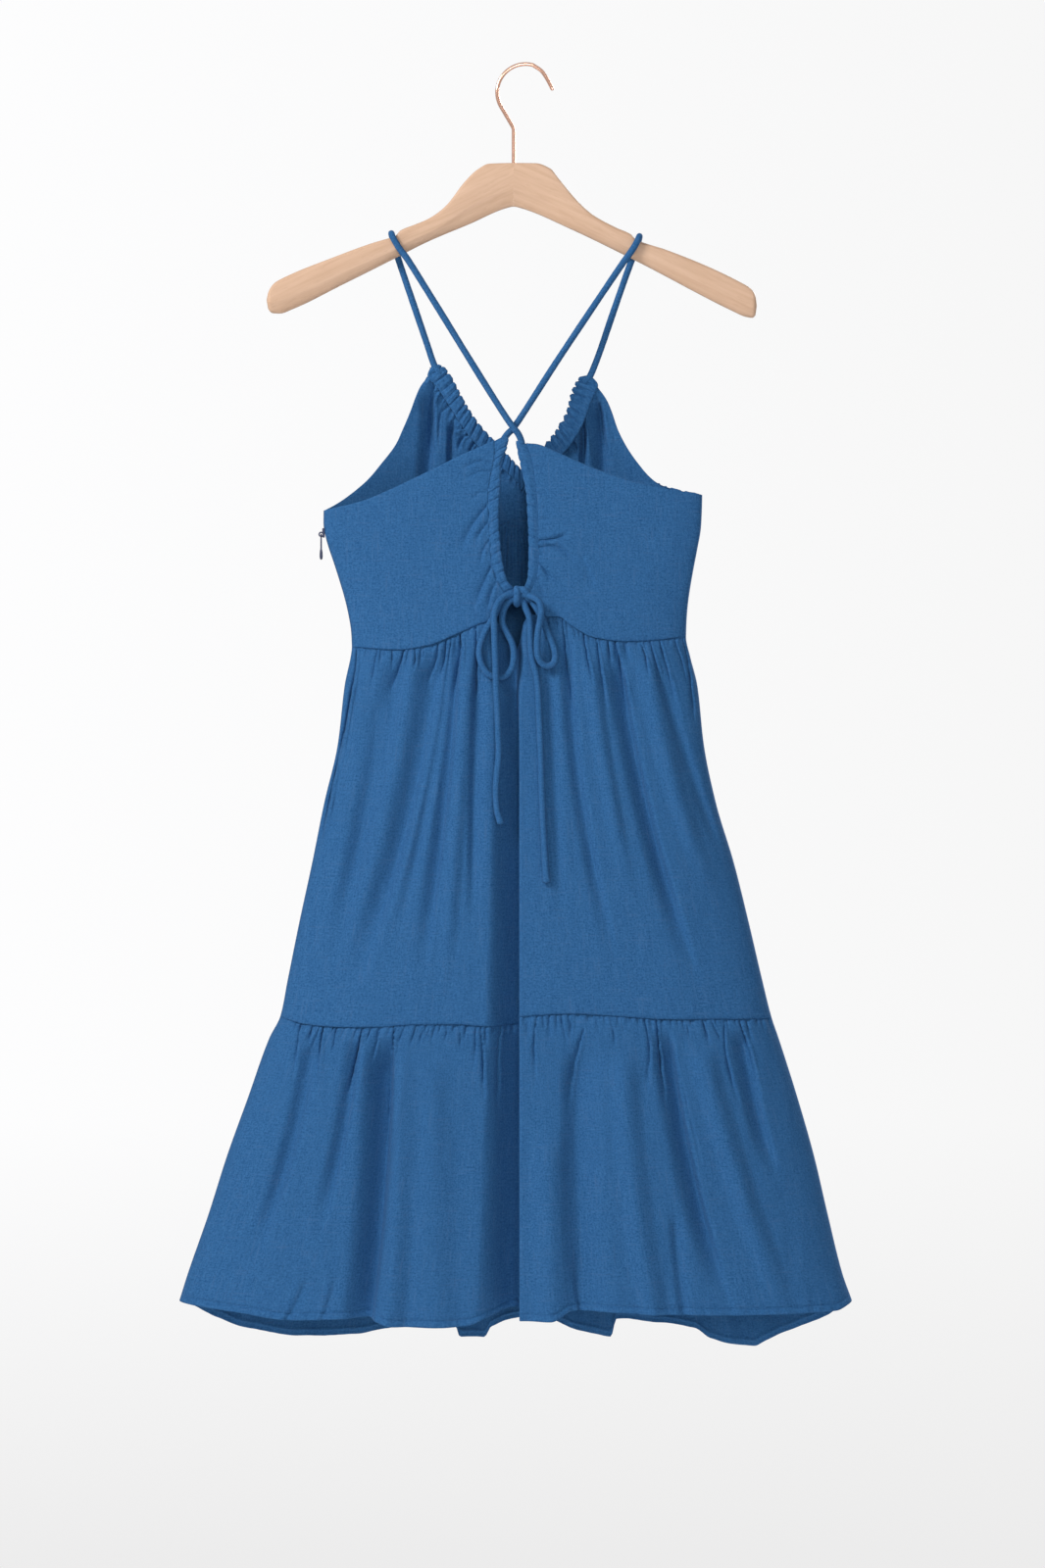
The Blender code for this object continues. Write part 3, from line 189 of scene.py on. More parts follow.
# Gathered channels: the stitched edge lies on the panel, the open edge on the opening
BACK_STITCH_LEFT: Rows = (
    (-17.5, 340.8), (-17.5, 356.4), (-21.3, 375.4), (-23.1, 394.4), (-21.5, 426.1), (-19.9, 450),
    (-16, 465.8), (-7.5, 480),
)
BACK_OPEN_LEFT: Rows = (
    (-4.6, 335), (-6.2, 347.5), (-11.2, 359.5), (-12, 378.6), (-13.5, 410.3), (-12, 434.1),
    (-9.6, 453.1), (-5.6, 467.4), (1.2, 475.6),
)
BACK_STITCH_RIGHT: Rows = (
    (12, 343.5), (17.4, 362.7), (21.3, 394.4), (22.5, 426.1), (22.5, 450), (20.4, 465.8),
    (14.6, 480),
)
BACK_OPEN_RIGHT: Rows = (
    (2.3, 340.5), (3.1, 348), (6.2, 362.7), (11, 386.5), (12.6, 410.3), (13.4, 426.1), (13.4, 450),
    (12, 467.4), (7.8, 475.6),
)
NECK_STITCH_LEFT: Rows = (
    (-76.2, 272.4), (-75.4, 280), (-67.5, 291.5), (-57.3, 307.5), (-44.5, 327.3), (-32.5, 342),
    (-13.5, 359.5), (7.8, 378.6),
)
NECK_OPEN_LEFT: Rows = (
    (-69.6, 267.2), (-62.4, 273.2), (-55, 284), (-45.6, 302), (-33.2, 321.1), (-16.2, 340.1),
    (-5.4, 351.1), (7.8, 365.4),
)
NECK_STITCH_RIGHT: Rows = (
    (70.8, 280.2), (72.2, 287.8), (66.5, 301.5), (59.5, 321), (49.5, 338.5), (37, 352.5),
    (20, 367.5), (6.2, 379),
)
NECK_OPEN_RIGHT: Rows = (
    (63.6, 277.2), (57, 285.6), (52.2, 297.6), (47.6, 314), (37.4, 331), (26.2, 344.6), (6.2, 365),
)


@dataclass(frozen=True)
class Fold:
    """A long fold down a panel: a trough, or a ridge where its depth is negative.

    x is given at its top, middle and low end, and left and right are its reach to each side.
    """

    x_top: float
    x_mid: float
    x_low: float
    drop_top: float
    drop_low: float
    depth: float
    left: float
    right: float
    crisp: float = 1.0


@dataclass(frozen=True)
class Crease:
    """A short crease from one point of a panel to another, past a middle point."""

    start: tuple[float, float]
    middle: tuple[float, float]
    end: tuple[float, float]
    depth: float
    reach: float


def folds(*rows: tuple[float, ...]) -> tuple[Fold, ...]:
    """Folds from plain rows, with the columns in the order of Fold's own fields."""
    return tuple(Fold(*row) for row in rows)


def creases(*rows: tuple[float, ...]) -> tuple[Crease, ...]:
    """Creases from plain rows: x and drop of its start, middle and end, then depth and reach."""
    return tuple(Crease(row[:2], row[2:4], row[4:6], *row[6:]) for row in rows)


SKIRT_BACK_FOLDS = folds(
    (-100, -124, -156, 528, 790, 6.5, 20, 12),
    (-68, -96, -150, 520, 850, 9.5, 22, 10),
    (-60, -76, -108, 520, 800, 4.6, 11, 8, 1.1),
    (-49, -62, -84, 512, 840, 7, 15, 6, 1.1),
    (-41, -52, -64, 530, 860, -3.5, 10, 10),
    (-30, -35.5, -36, 520, 800, 5, 7, 11),
    (49, 62, 98, 508, 830, 5.5, 12, 7, 1.1),
    (67.5, 84, 107, 530, 760, -3.5, 11, 9),
    (30, 36, 44, 515, 790, 3.5, 7, 10),
    (92, 122, 170, 524, 840, 9.5, 17, 7, 1.1),
    (119, 143, 182, 530, 760, -4.5, 14, 13),
    (130, 158, 192, 540, 730, 3.2, 9, 8),
    (-122, -141, -172, 560, 860, 3.6, 16, 13),
)
SKIRT_FRONT_FOLDS = folds(
    (-120, -132, -150, 540, 800, 5, 13, 13),
    (-88, -104, -128, 505, 850, 8, 15, 15, 1.2),
    (-52, -66, -88, 470, 860, -5, 15, 15),
    (-30, -38, -52, 450, 865, 7, 13, 13, 1.2),
    (2, 3, 4, 440, 870, -5, 17, 17),
    (34, 44, 58, 450, 860, 8, 15, 13, 1.2),
    (66, 82, 104, 475, 850, -5, 15, 15),
    (92, 112, 142, 505, 845, 8, 13, 15, 1.2),
    (126, 146, 180, 540, 800, 5, 13, 13),
)
FLOUNCE_BACK_FOLDS = folds(
    (-176, -200, -236, 872, 1090, 7.5, 16, 9, 1.1),
    (-138, -152, -176, 872, 1060, 7, 15, 7, 1.1),
    (-110, -119, -146, 868, 1240, 20, 30, 6, 1),
    (-100, -106, -128, 876, 1240, -6, 9, 20),
    (-76, -72, -68, 880, 1240, -5, 26, 26),
    (30, 33, 36, 950, 1260, -6, 20, 18),
    (58, 58, 70, 876, 1200, 9.5, 18, 27),
    (97, 112, 146, 880, 1220, -6, 15, 17),
    (137, 160, 197, 866, 1130, 12.5, 21, 6, 1.1),
    (143, 150, 162, 1030, 1180, 4, 8, 9),
    (166, 202, 250, 880, 1140, -6.5, 16, 16),
    (203, 216, 238, 868, 1010, 7.5, 14, 9, 1.1),
)
FLOUNCE_FRONT_FOLDS = folds(
    (-205, -232, -266, 886, 1210, 9, 18, 18, 1.2),
    (-160, -178, -202, 884, 1240, -8, 20, 20),
    (-118, -131, -148, 886, 1240, 10, 18, 18, 1.2),
    (-66, -70, -76, 884, 1240, -8, 20, 20),
    (-24, -22, -20, 884, 1260, 12, 16, 16, 1.2),
    (26, 31, 36, 884, 1260, -8, 20, 20),
    (72, 84, 98, 884, 1250, 10, 18, 18, 1.2),
    (118, 135, 156, 884, 1250, -8, 20, 20),
    (160, 182, 208, 884, 1240, 10, 18, 18, 1.2),
    (204, 228, 256, 886, 1220, -7, 18, 18),
)
CUP_LEFT_FOLDS = folds(
    (-78, -88, -92, 290, 520, -6, 62, 62),
    (-73, -78, -84, 286, 470, -7, 15, 4, 1.1),
    (-57, -56, -55, 314, 420, -5, 6, 4),
    (-36, -35, -34, 340, 430, -3, 6, 5),
)
CUP_RIGHT_FOLDS = folds(
    (78, 92, 98, 290, 520, -6, 62, 62),
    (78, 84, 92, 296, 450, -6.5, 14, 4, 1.1),
    (63, 64, 66, 308, 430, -5, 5, 3.5),
    (40, 43, 46, 336, 430, -3, 6, 5),
)
WAIST_BACK_GATHERS = creases(
    (-122.5, 531, -126, 552, -129.5, 574, 1.8, 3.4),
    (-109.5, 531, -109, 537, -109, 543, 1.8, 2),
    (-98, 531, -103.5, 549, -113, 574, 3, 4.6),
    (-88.6, 530, -88.2, 540, -91, 551, 2.8, 2.3),
    (-80.6, 528, -80.6, 533, -80.8, 539, 2.2, 1.8),
    (-67.5, 525.5, -69.5, 540, -80, 566, 3.2, 4),
    (-60, 522.5, -62, 540, -68, 566, 3.2, 2.6),
    (-55.8, 520, -57, 531, -59, 545, 2.2, 1.7),
    (-47.4, 517, -46.6, 531, -54, 580, 5, 4),
    (-33, 511, -32.5, 545, -34.5, 590, 4.4, 3.2),
    (31, 502, 32, 506, 33, 511, 1.6, 1.7),
    (38.8, 501, 40, 507, 40.6, 514, 2, 1.9),
    (44.5, 504, 49.5, 546, 57, 596, 4.2, 3.2),
    (54, 511, 56, 516, 57, 523, 1.6, 1.8),
    (63.5, 516.5, 67.5, 540, 73, 568, 3.6, 2.5),
    (75, 521, 79.5, 552, 85, 590, 3, 3.2),
    (85.5, 523, 87, 532, 89, 542, 1.8, 2),
    (92.5, 523.5, 99.5, 555, 108, 600, 4.4, 3.6),
    (115, 524, 119.5, 538, 122.6, 560, 2.6, 2.4),
    (123.8, 523.5, 131.5, 553, 137.5, 568, 3, 3),
    (132.5, 523, 144, 566, 154, 598, 2.4, 3.6),
    (146, 520.5, 152, 540, 158, 566, 1.8, 2.4),
    (-141.2, 531, -142.6, 549, -151.6, 598, 6.5, 3.6),
    (-144.8, 562, -152.6, 604, -161.6, 652, 8.5, 3.6),
    (-153.8, 606, -163, 652, -177, 722, 10.5, 3.6),
    (153.6, 521, 159, 548, 164, 600, 7, 2.8),
)
WAIST_FRONT_GATHERS = creases(
    (-11, 416, -11.6, 434, -12.6, 470, -3, 4.2),
    (-5.6, 414, -6.6, 438, -7.4, 486, -4.2, 4.8),
    (0.6, 413, 0.4, 436, -0.4, 478, -3.6, 4),
    (6, 413, 6.6, 440, 6.2, 490, -4.4, 4.8),
    (11.4, 414, 12, 432, 12.6, 466, -3.2, 4),
)
TIER_BACK_GATHERS = creases(
    (-191, 868, -194.5, 894, -197, 920, 2.4, 3.2),
    (-180.5, 868.5, -182, 878, -184, 888, 1.6, 2),
    (-170, 869.5, -173.5, 896, -176.5, 929, 5.6, 3.2),
    (-158, 870.5, -160.5, 884, -163, 896, 1.8, 2.2),
    (-135, 870.5, -140, 896, -150, 938, 5.4, 3.2),
    (-127.5, 870, -129.5, 876, -131, 882, 1.6, 1.8),
    (-119, 870, -122.5, 884, -128, 902, 2.2, 2.6),
    (-106.2, 868, -106.8, 912, -110, 986, 7.4, 3.4),
    (-97.5, 867.5, -100, 876, -102.5, 884, 2.2, 1.9),
    (-87, 867.5, -90, 878, -92.5, 888, 2.2, 1.9),
    (-80.3, 867, -82, 876, -84, 884, 2, 1.7),
    (-74, 867, -76, 873, -78, 880, 1.7, 1.7),
    (-64.5, 867, -66.5, 872, -68.5, 877, 1.6, 1.6),
    (-57.5, 867, -59.5, 873, -61, 882, 1.8, 1.7),
    (-47.8, 867.5, -47, 878, -47.5, 890, 2.4, 2),
    (-39.8, 868, -39.5, 877, -39, 885, 2, 1.8),
    (-28.6, 869, -26.8, 895, -25.8, 940, 4.6, 2.8),
    (-12, 869, -13.8, 900, -14.5, 950, 4.4, 2.8),
    (-33.8, 868, -33.4, 882, -34.4, 902, 2.6, 2.4),
    (20.6, 860, 18.9, 885, 21, 918, 3.2, 2.8),
    (27, 859.5, 28, 868, 30, 874, 1.6, 1.8),
    (43, 859, 45.5, 870, 48.5, 886, 2, 2),
    (53.4, 859, 51.5, 868, 50.5, 880, 2.2, 2),
    (62.5, 872, 53, 906, 47.5, 948, 3.4, 4.6),
    (74, 859.5, 75.5, 868, 77.5, 876, 1.7, 1.9),
    (87, 860.5, 89.5, 872, 92, 888, 2, 2),
    (96.8, 861, 98, 867, 100, 874, 1.6, 1.7),
    (118, 862, 122, 890, 118.4, 930, 3.4, 3),
    (128.5, 863, 131.5, 900, 136, 942, 6, 3.2),
    (147, 905, 156, 938, 172, 1008, 1.8, 3.4),
    (155.4, 864, 156.5, 870, 158, 878, 2, 1.9),
    (169.5, 864, 173, 872, 177, 884, 2.2, 2),
    (177.6, 864, 182.5, 873, 188, 884, 2.2, 2),
    (189, 864, 191.5, 898, 204, 944, 3.2, 3.2),
    (203, 864.5, 212.8, 892, 222, 936, 3.6, 3.2),
    (-205, 1130, -193, 1112, -178, 1080, 2, 9),
    (-173, 1131, -165, 1112, -154, 1082, 1.6, 8),
    (58, 1120, 55, 1100, 53, 1066, 2.6, 6),
)
CUP_LEFT_CREASES = creases(
    (-71.1, 284.5, -74.6, 318, -71.6, 368, -4.6, 5),
    (-60, 307, -67, 316, -68.4, 350, -2.2, 2.2),
    (-55, 322, -57.5, 340, -58, 372, -3, 4.2),
    (-46, 326.6, -53, 327.4, -60, 331, -4, 2.8),
    (-40, 331, -47.8, 337, -51, 350, -3.6, 2.8),
    (-31, 338.5, -37, 342, -42, 352.5, -3.2, 2.6),
    (-22, 348, -28, 356, -34, 366, -3, 2.6),
    (-12, 361, -15, 374, -16, 392, -1.6, 2.4),
)
CUP_RIGHT_CREASES = creases(
    (62.5, 312, 64.6, 336, 64.8, 366, -4.6, 4.4),
    (78, 306, 84.4, 343, 89, 372, -3.6, 6),
    (53, 308, 60, 312, 61.6, 324, -3.4, 2.6),
    (44, 333.5, 53.5, 338, 58.8, 351, -3.8, 2.8),
    (38, 339.5, 46, 343, 52, 352.5, -3.4, 2.6),
    (31.5, 348, 39, 352, 45, 360.5, -3, 2.4),
    (24, 360, 29, 366, 33, 376, -1.8, 2.4),
    (14, 372, 16.5, 380, 17, 394, -1.6, 2.2),
)
BACK_LEFT_CREASES = creases(
    (-18, 352, -30, 350, -44, 354, 0.9, 2.6),
    (-18.6, 361, -32, 360, -52, 370, 1.9, 3.2),
    (-19.6, 369, -31, 369.5, -48, 378, 1.4, 2.8),
    (-23, 386, -33, 390, -42, 399, 1.2, 3),
    (-24, 400, -38, 420, -50.6, 447, 2.4, 6),
    (-22, 414, -30, 424, -36, 436, 1.8, 3.6),
    (-21, 430, -27, 440, -31, 458, 1.6, 3.4),
    (-18.5, 452, -28, 474, -39, 500, 2.4, 5),
    (-14, 466, -20, 480, -24, 500, 1.8, 3.4),
)
BACK_RIGHT_CREASES = creases(
    (18.5, 366, 24, 366.5, 30, 368, 1, 2.2),
    (21, 388, 27, 388.4, 34, 391, 1.3, 2.2),
    (21.5, 402, 27, 401, 33, 400, 1.1, 2),
    (22, 411.9, 28, 411, 35, 412.5, 1.5, 2.2),
    (22.6, 430.5, 36, 429, 53, 423.6, 3.2, 3.2),
    (23, 436, 41, 437, 62, 454, 2.8, 5),
    (22.8, 443, 28, 442.5, 34, 445, 1.6, 2.2),
    (22.4, 451, 28.5, 457.5, 37, 471, 3.2, 3),
    (20.6, 463, 25, 474, 30, 490, 1.6, 3.4),
    (62, 446, 68, 462, 74, 486, 1, 9),
)


def place(points: np.ndarray) -> np.ndarray:
    """Turn table points into the part's frame.

    Args:
        points: x, y and drop in millimetres along the last axis.

    Returns:
        X, Y and Z in metres.
    """
    points = np.asarray(points, float)
    return np.stack([(points[..., 0] - STEM_SIDE) * MM, points[..., 1] * MM,
                     -points[..., 2] * MM], axis=-1)


def blend(start: np.ndarray, end: np.ndarray, share: np.ndarray) -> np.ndarray:
    """The value at a share of the way from start to end."""
    return start + (end - start) * share


def ease(start: float, end: float, values: np.ndarray) -> np.ndarray:
    """0 before start, 1 after end, and a smooth rise between them."""
    share = np.clip((np.asarray(values, float) - start) / (end - start), 0.0, 1.0)
    return share * share * (3.0 - 2.0 * share)


def bump(offset: np.ndarray, left: float, right: float) -> np.ndarray:
    """1 in the middle, falling smoothly to 0 at the reach of each side."""
    reach = np.where(offset > 0.0, right, left)
    share = np.clip(np.abs(offset) / reach, 0.0, 1.0)
    return 0.5 * (1.0 + np.cos(math.pi * share))


def ripple(x: np.ndarray, drop: np.ndarray, wide: float, tall: float, seed: int) -> np.ndarray:
    """Smooth uneven heights from -1 to 1.

    Args:
        x: places across the cloth.
        drop: places down the cloth.
        wide: width of one swell.
        tall: height of one swell.
        seed: fixes the random heights.

    Returns:
        A height for each place.
    """
    across = (x - x.min()) / wide
    down = (drop - drop.min()) / tall
    heights = np.random.default_rng(seed).uniform(
        -1.0, 1.0, (int(down.max()) + 3, int(across.max()) + 3))
    column, row = across.astype(int), down.astype(int)
    u, v = across - column, down - row
    u, v = u * u * (3.0 - 2.0 * u), v * v * (3.0 - 2.0 * v)
    upper = blend(heights[row, column], heights[row, column + 1], u)
    lower = blend(heights[row + 1, column], heights[row + 1, column + 1], u)
    return blend(upper, lower, v)


def crinkle(swells: Rows, x: np.ndarray, drop: np.ndarray, seed: int) -> np.ndarray:
    """The washed cloth's own unevenness.

    Args:
        swells: height, width and length of the swells of each size.
        x: places across the cloth.
        drop: places down the cloth.
        seed: fixes the random heights.

    Returns:
        The push in millimetres.
    """
    return sum(height * ripple(x, drop, wide, tall, seed + index)
               for index, (height, wide, tall) in enumerate(swells))


class Table:
    """Two columns read as a smooth curve that keeps to its rows."""

    def __init__(self, rows: Rows) -> None:
        """Work out the slope at each row.

        Args:
            rows: key and value, with rising keys.
        """
        self.keys, self.values = np.array(rows, float).T
        steps = np.diff(self.values) / np.diff(self.keys)
        before, after = steps[:-1], steps[1:]
        total = np.where(before * after > 0.0, before + after, 1.0)
        inner = np.where(before * after > 0.0, 2.0 * before * after / total, 0.0)
        self.slopes = np.concatenate([steps[:1], inner, steps[-1:]])

    def at(self, keys: np.ndarray) -> np.ndarray:
        """The curve's value at each key."""
        keys = np.clip(np.asarray(keys, float), self.keys[0], self.keys[-1])
        slot = np.clip(np.searchsorted(self.keys, keys) - 1, 0, len(self.keys) - 2)
        span = self.keys[slot + 1] - self.keys[slot]
        t = (keys - self.keys[slot]) / span
        low, high = self.values[slot], self.values[slot + 1]
        return (low + (high - low) * t * t * (3.0 - 2.0 * t)
                + self.slopes[slot] * span * t * (1.0 - t) ** 2
                - self.slopes[slot + 1] * span * t * t * (1.0 - t))


class Route:
    """A smooth curve through a few points, read at shares of its length."""

    STEPS = 10

    def __init__(self, points: Rows) -> None:
        """Find the curve's fine points.

        Args:
            points: the points that it runs through, of two or three numbers each.
        """
        knots = [np.array(point, float) for point in points]
        knots = [2.0 * knots[0] - knots[1]] + knots + [2.0 * knots[-1] - knots[-2]]
        dense = [knots[1]]
        for a, b, c, d in zip(knots, knots[1:], knots[2:], knots[3:]):
            for step in range(1, self.STEPS + 1):
                t = step / self.STEPS
                bend = (2.0 * a - 5.0 * b + 4.0 * c - d) * t * t
                twist = (3.0 * b - a - 3.0 * c + d) * t * t * t
                dense.append(0.5 * (2.0 * b + (c - a) * t + bend + twist))
        self.dense = np.array(dense)
        runs = np.linalg.norm(np.diff(self.dense, axis=0), axis=1)
        self.reached = np.concatenate([[0.0], np.cumsum(runs)])
        self.length = float(self.reached[-1])

    def at(self, shares: np.ndarray) -> np.ndarray:
        """The points at shares of the whole length, along a new last axis."""
        goal = np.clip(np.asarray(shares, float), 0.0, 1.0) * self.length
        return np.stack([np.interp(goal, self.reached, self.dense[:, axis])
                         for axis in range(self.dense.shape[1])], axis=-1)


class Corner:
    """Two routes that meet at a corner, read as one edge that turns at a given share."""

    def __init__(self, first: Route, second: Route, turn: float = 0.5) -> None:
        """Keep the two routes.

        Args:
            first: the route before the corner.
            second: the route after it.
            turn: the share of the edge at which the corner lies.
        """
        self.first = first
        self.second = second
        self.turn = turn

    def at(self, shares: np.ndarray) -> np.ndarray:
        """The points at shares of the edge, along a new last axis."""
        shares = np.asarray(shares, float)
        before = self.first.at(shares / self.turn)
        after = self.second.at((shares - self.turn) / (1.0 - self.turn))
        return np.where((shares <= self.turn)[..., None], before, after)


@dataclass(frozen=True)
class GarmentForm:
    """The hanging dress without its folds: how far it stands out at any x and drop."""

    left: Table = field(default_factory=lambda: Table(OUTLINE_LEFT))
    right: Table = field(default_factory=lambda: Table(OUTLINE_RIGHT))
    back: Table = field(default_factory=lambda: Table(DEPTH_BACK))
    front: Table = field(default_factory=lambda: Table(DEPTH_FRONT))
    knife_depth: Table = field(default_factory=lambda: Table((
        (525.0, 0.0), (585.0, 17.0), (700.0, 22.0), (865.0, 26.0), (1000.0, 30.0),
        (1170.0, 34.0))))
    knife_width: Table = field(default_factory=lambda: Table((
        (525.0, 24.0), (700.0, 28.0), (865.0, 32.0), (1170.0, 42.0))))
    knife_steep: float = 3.0
    knife_tucked: float = 4.2
    knife_tuck_reach: float = 20.0
    knife_tuck_starts: tuple[float, float] = (560.0, 640.0)
    sway_depth: float = 12.0
    gape_offset: float = 5.0
    gape_depth: float = 16.0
    gape_reach: float = 26.0
    gape_steep: float = 9.0
    gape_opens: tuple[float, float] = (488.0, 518.0)
    gape_closes: tuple[float, float] = (531.0, 580.0)
    fold_rise: float = 0.12
    fold_fall: float = 0.62

    def depth(self, x: np.ndarray, drop: np.ndarray, side: Side) -> np.ndarray:
        """How far the smooth garment stands out from the plane of its side seams."""
        edge = np.where(x < MIDDLE, self.left.at(drop), self.right.at(drop))
        across = np.clip(np.abs((x - MIDDLE) / (edge - MIDDLE)), 0.0, 1.0)
        table = self.back if side is Side.BACK else self.front
        return table.at(drop) * np.sqrt(1.0 - across ** ROUNDING)

    def fold_push(self, rows: tuple[Fold, ...], x: np.ndarray, drop: np.ndarray) -> np.ndarray:
        """How far the long folds push each point in."""
        total = np.zeros_like(x)
        for fold in rows:
            t = (drop - fold.drop_top) / (fold.drop_low - fold.drop_top)
            inside = np.clip(t, 0.0, 1.0)
            centre = ((1.0 - inside) * (1.0 - 2.0 * inside) * fold.x_top
                      + 4.0 * inside * (1.0 - inside) * fold.x_mid
                      + inside * (2.0 * inside - 1.0) * fold.x_low)
            strength = ease(0.0, self.fold_rise, t) * (1.0 - ease(self.fold_fall, 1.0, t))
            shape = bump(x - centre, fold.left, fold.right) ** fold.crisp
            total += fold.depth * strength * shape
        return total

    def knife_push(self, x: np.ndarray, drop: np.ndarray) -> np.ndarray:
        """The centre back's knife fold: steep under its right ridge, with a soft left slope."""
        offset = x - MIDDLE
        gape = self.gape_depth * bump(offset + self.gape_offset, self.gape_reach,
                                      self.gape_steep)
        gape *= ease(*self.gape_opens, drop) * (1.0 - ease(*self.gape_closes, drop))
        width = self.knife_width.at(drop)
        far = np.clip((-offset - self.knife_steep) / (width - self.knife_steep), 0.0, 1.0)
        slope = 1.0 - far * far * (3.0 - 2.0 * far)
        knife = self.knife_depth.at(drop) * ease(0.0, self.knife_steep, -offset) * slope
        return gape + np.where(offset < 0.0, knife, 0.0)

    def knife_tuck(self, x: np.ndarray, drop: np.ndarray) -> np.ndarray:
        """How far the knife fold's deep side is drawn to the right, under the ridge."""
        offset = MIDDLE - x
        near = ease(0.0, self.knife_steep, offset)
        near *= 1.0 - ease(self.knife_steep, self.knife_tuck_reach, offset)
        return self.knife_tucked * near * ease(*self.knife_tuck_starts, drop)

    def outer_y(self, x: np.ndarray, drop: np.ndarray, side: Side,
                push: np.ndarray | float = 0.0) -> np.ndarray:
        """The y of the outer face of the cloth.

        Args:
            x: places across.
            drop: places down.
            side: the half of the dress.
            push: how far folds and creases push in at each place.

        Returns:
            y in millimetres.
        """
        depth = self.depth(x, drop, side)
        sway = np.clip(depth / self.sway_depth, 0.0, 1.0)
        out = 0.5 * SEAM_GAP + np.maximum(0.0, depth - push * sway)
        return side.value * np.where(depth < ON_SEAM, 0.5 * SEAM_GAP, out)


FORM = GarmentForm()


@dataclass(frozen=True)
class Gathers:
    """Cloth gathered into a seam: narrow valleys that start there and fade down the cloth."""

    count: int
    seed: int
    depth: float = 1.5
    shortest: float = 9.0
    longest: float = 70.0
    width: float = 1.5
    flare: float = 22.0
    puff: float = 1.3
    puff_rise: float = 5.0
    puff_fall: float = 55.0
    places: tuple[float, float] = (0.12, 0.88)
    strengths: tuple[float, float] = (0.55, 1.25)
    widths: tuple[float, float] = (0.7, 1.35)
    leans: tuple[float, float] = (-0.07, 0.07)
    short_bias: float = 1.8
    fade_from: float = 0.15
    seam_reach: tuple[float, float] = (-1.0, 2.5)

    def push(self, along: np.ndarray, below: np.ndarray, span: float) -> np.ndarray:
        """How far the gathers push each point in.

        Args:
            along: distance along the seam of the column that each point is on.
            below: distance of each point below the seam.
            span: length of the seam.

        Returns:
            The push in millimetres, negative where the cloth puffs out.
        """
        chance = np.random.default_rng(self.seed)
        place_in_cell = chance.uniform(*self.places, self.count)
        reach = self.shortest * (self.longest / self.shortest) ** (
            chance.random(self.count) ** self.short_bias)
        strength = self.depth * chance.uniform(*self.strengths, self.count)
        lean = chance.uniform(*self.leans, self.count)
        narrow = self.width * chance.uniform(*self.widths, self.count)
        down = np.maximum(below, 0.0)
        total = np.zeros_like(along)
        for index in range(self.count):
            centre = (index + place_in_cell[index]) / self.count * span
            wide = narrow[index] * (1.0 + down / self.flare)
            offset = (along - centre - lean[index] * down) / wide
            fade = 1.0 - ease(self.fade_from * reach[index], reach[index], down)
            total += strength[index] * fade * np.exp(-offset * offset)
        puff = self.puff * (1.0 - np.exp(-down / self.puff_rise)) * np.exp(-down / self.puff_fall)
        return total * ease(*self.seam_reach, below) - puff


def crease_push(lines: tuple[Crease, ...], x: np.ndarray, drop: np.ndarray,
                steep: float = 1.0, soft: float = 1.0) -> np.ndarray:
    """How far the short creases push each point in, with a low lip on the steep side.

    Args:
        lines: the creases.
        x: places across.
        drop: places down.
        steep: share of a crease's reach on its right, where it runs down.
        soft: share of its reach on the other side.

    Returns:
        The push in millimetres.
    """
    total = np.zeros_like(x)
    shares = np.linspace(0.0, 1.0, CREASE_STEPS)
    for crease in lines:
        line = Route((crease.start, crease.middle, crease.end)).at(shares)
        margin = CREASE_MARGIN * crease.reach * max(steep, soft)
        low, high = line.min(axis=0) - margin, line.max(axis=0) + margin
        near = (x > low[0]) & (x < high[0]) & (drop > low[1]) & (drop < high[1])
        if not near.any():
            continue
        ahead = np.gradient(line, axis=0)
        ahead /= np.linalg.norm(ahead, axis=1, keepdims=True)
        off_x, off_drop = x[near][:, None] - line[:, 0], drop[near][:, None] - line[:, 1]
        gap = np.hypot(off_x, off_drop)
        nearest = gap.argmin(axis=-1)
        row = np.arange(len(nearest))
        away = gap[row, nearest]
        right = off_x[row, nearest] * ahead[nearest, 1] > off_drop[row, nearest] * ahead[nearest, 0]
        share = shares[nearest]
        strength = ease(*CREASE_RISE, share) * (1.0 - ease(*CREASE_FALL, share))
        reach = crease.reach * (NARROW_START + WIDENING * share)
        side = np.where(right, steep * reach, soft * reach)
        trough = np.exp(-(away / (TROUGH_WIDTH * side)) ** 2)
        past_lip = (away - LIP_PLACE * side) / (LIP_WIDTH * side)
        lip = np.where(right, np.exp(-past_lip ** 2), 0.0)
        total[near] += crease.depth * strength * (trough - LIP_HEIGHT * lip)
    return total


def evaluated_mesh(obj: bpy.types.Object) -> bpy.types.Mesh:
    """A new mesh of an object as its modifiers or its curve's settings leave it."""
    bpy.context.view_layer.update()
    view = bpy.context.evaluated_depsgraph_get()
    return bpy.data.meshes.new_from_object(obj.evaluated_get(view))


def finish_mesh(obj: bpy.types.Object) -> bpy.types.Object:
    """Bake an object's modifiers into its mesh."""
    mesh = evaluated_mesh(obj)
    mesh.name = obj.name
    old = obj.data
    obj.modifiers.clear()
    obj.data = mesh
    if isinstance(old, bpy.types.Mesh):
        bpy.data.meshes.remove(old)
    return obj


def add_object(name: str, data: bpy.types.ID) -> bpy.types.Object:
    """Put mesh or curve data in the scene under a name."""
    obj = bpy.data.objects.new(name, data)
    bpy.context.scene.collection.objects.link(obj)
    return obj


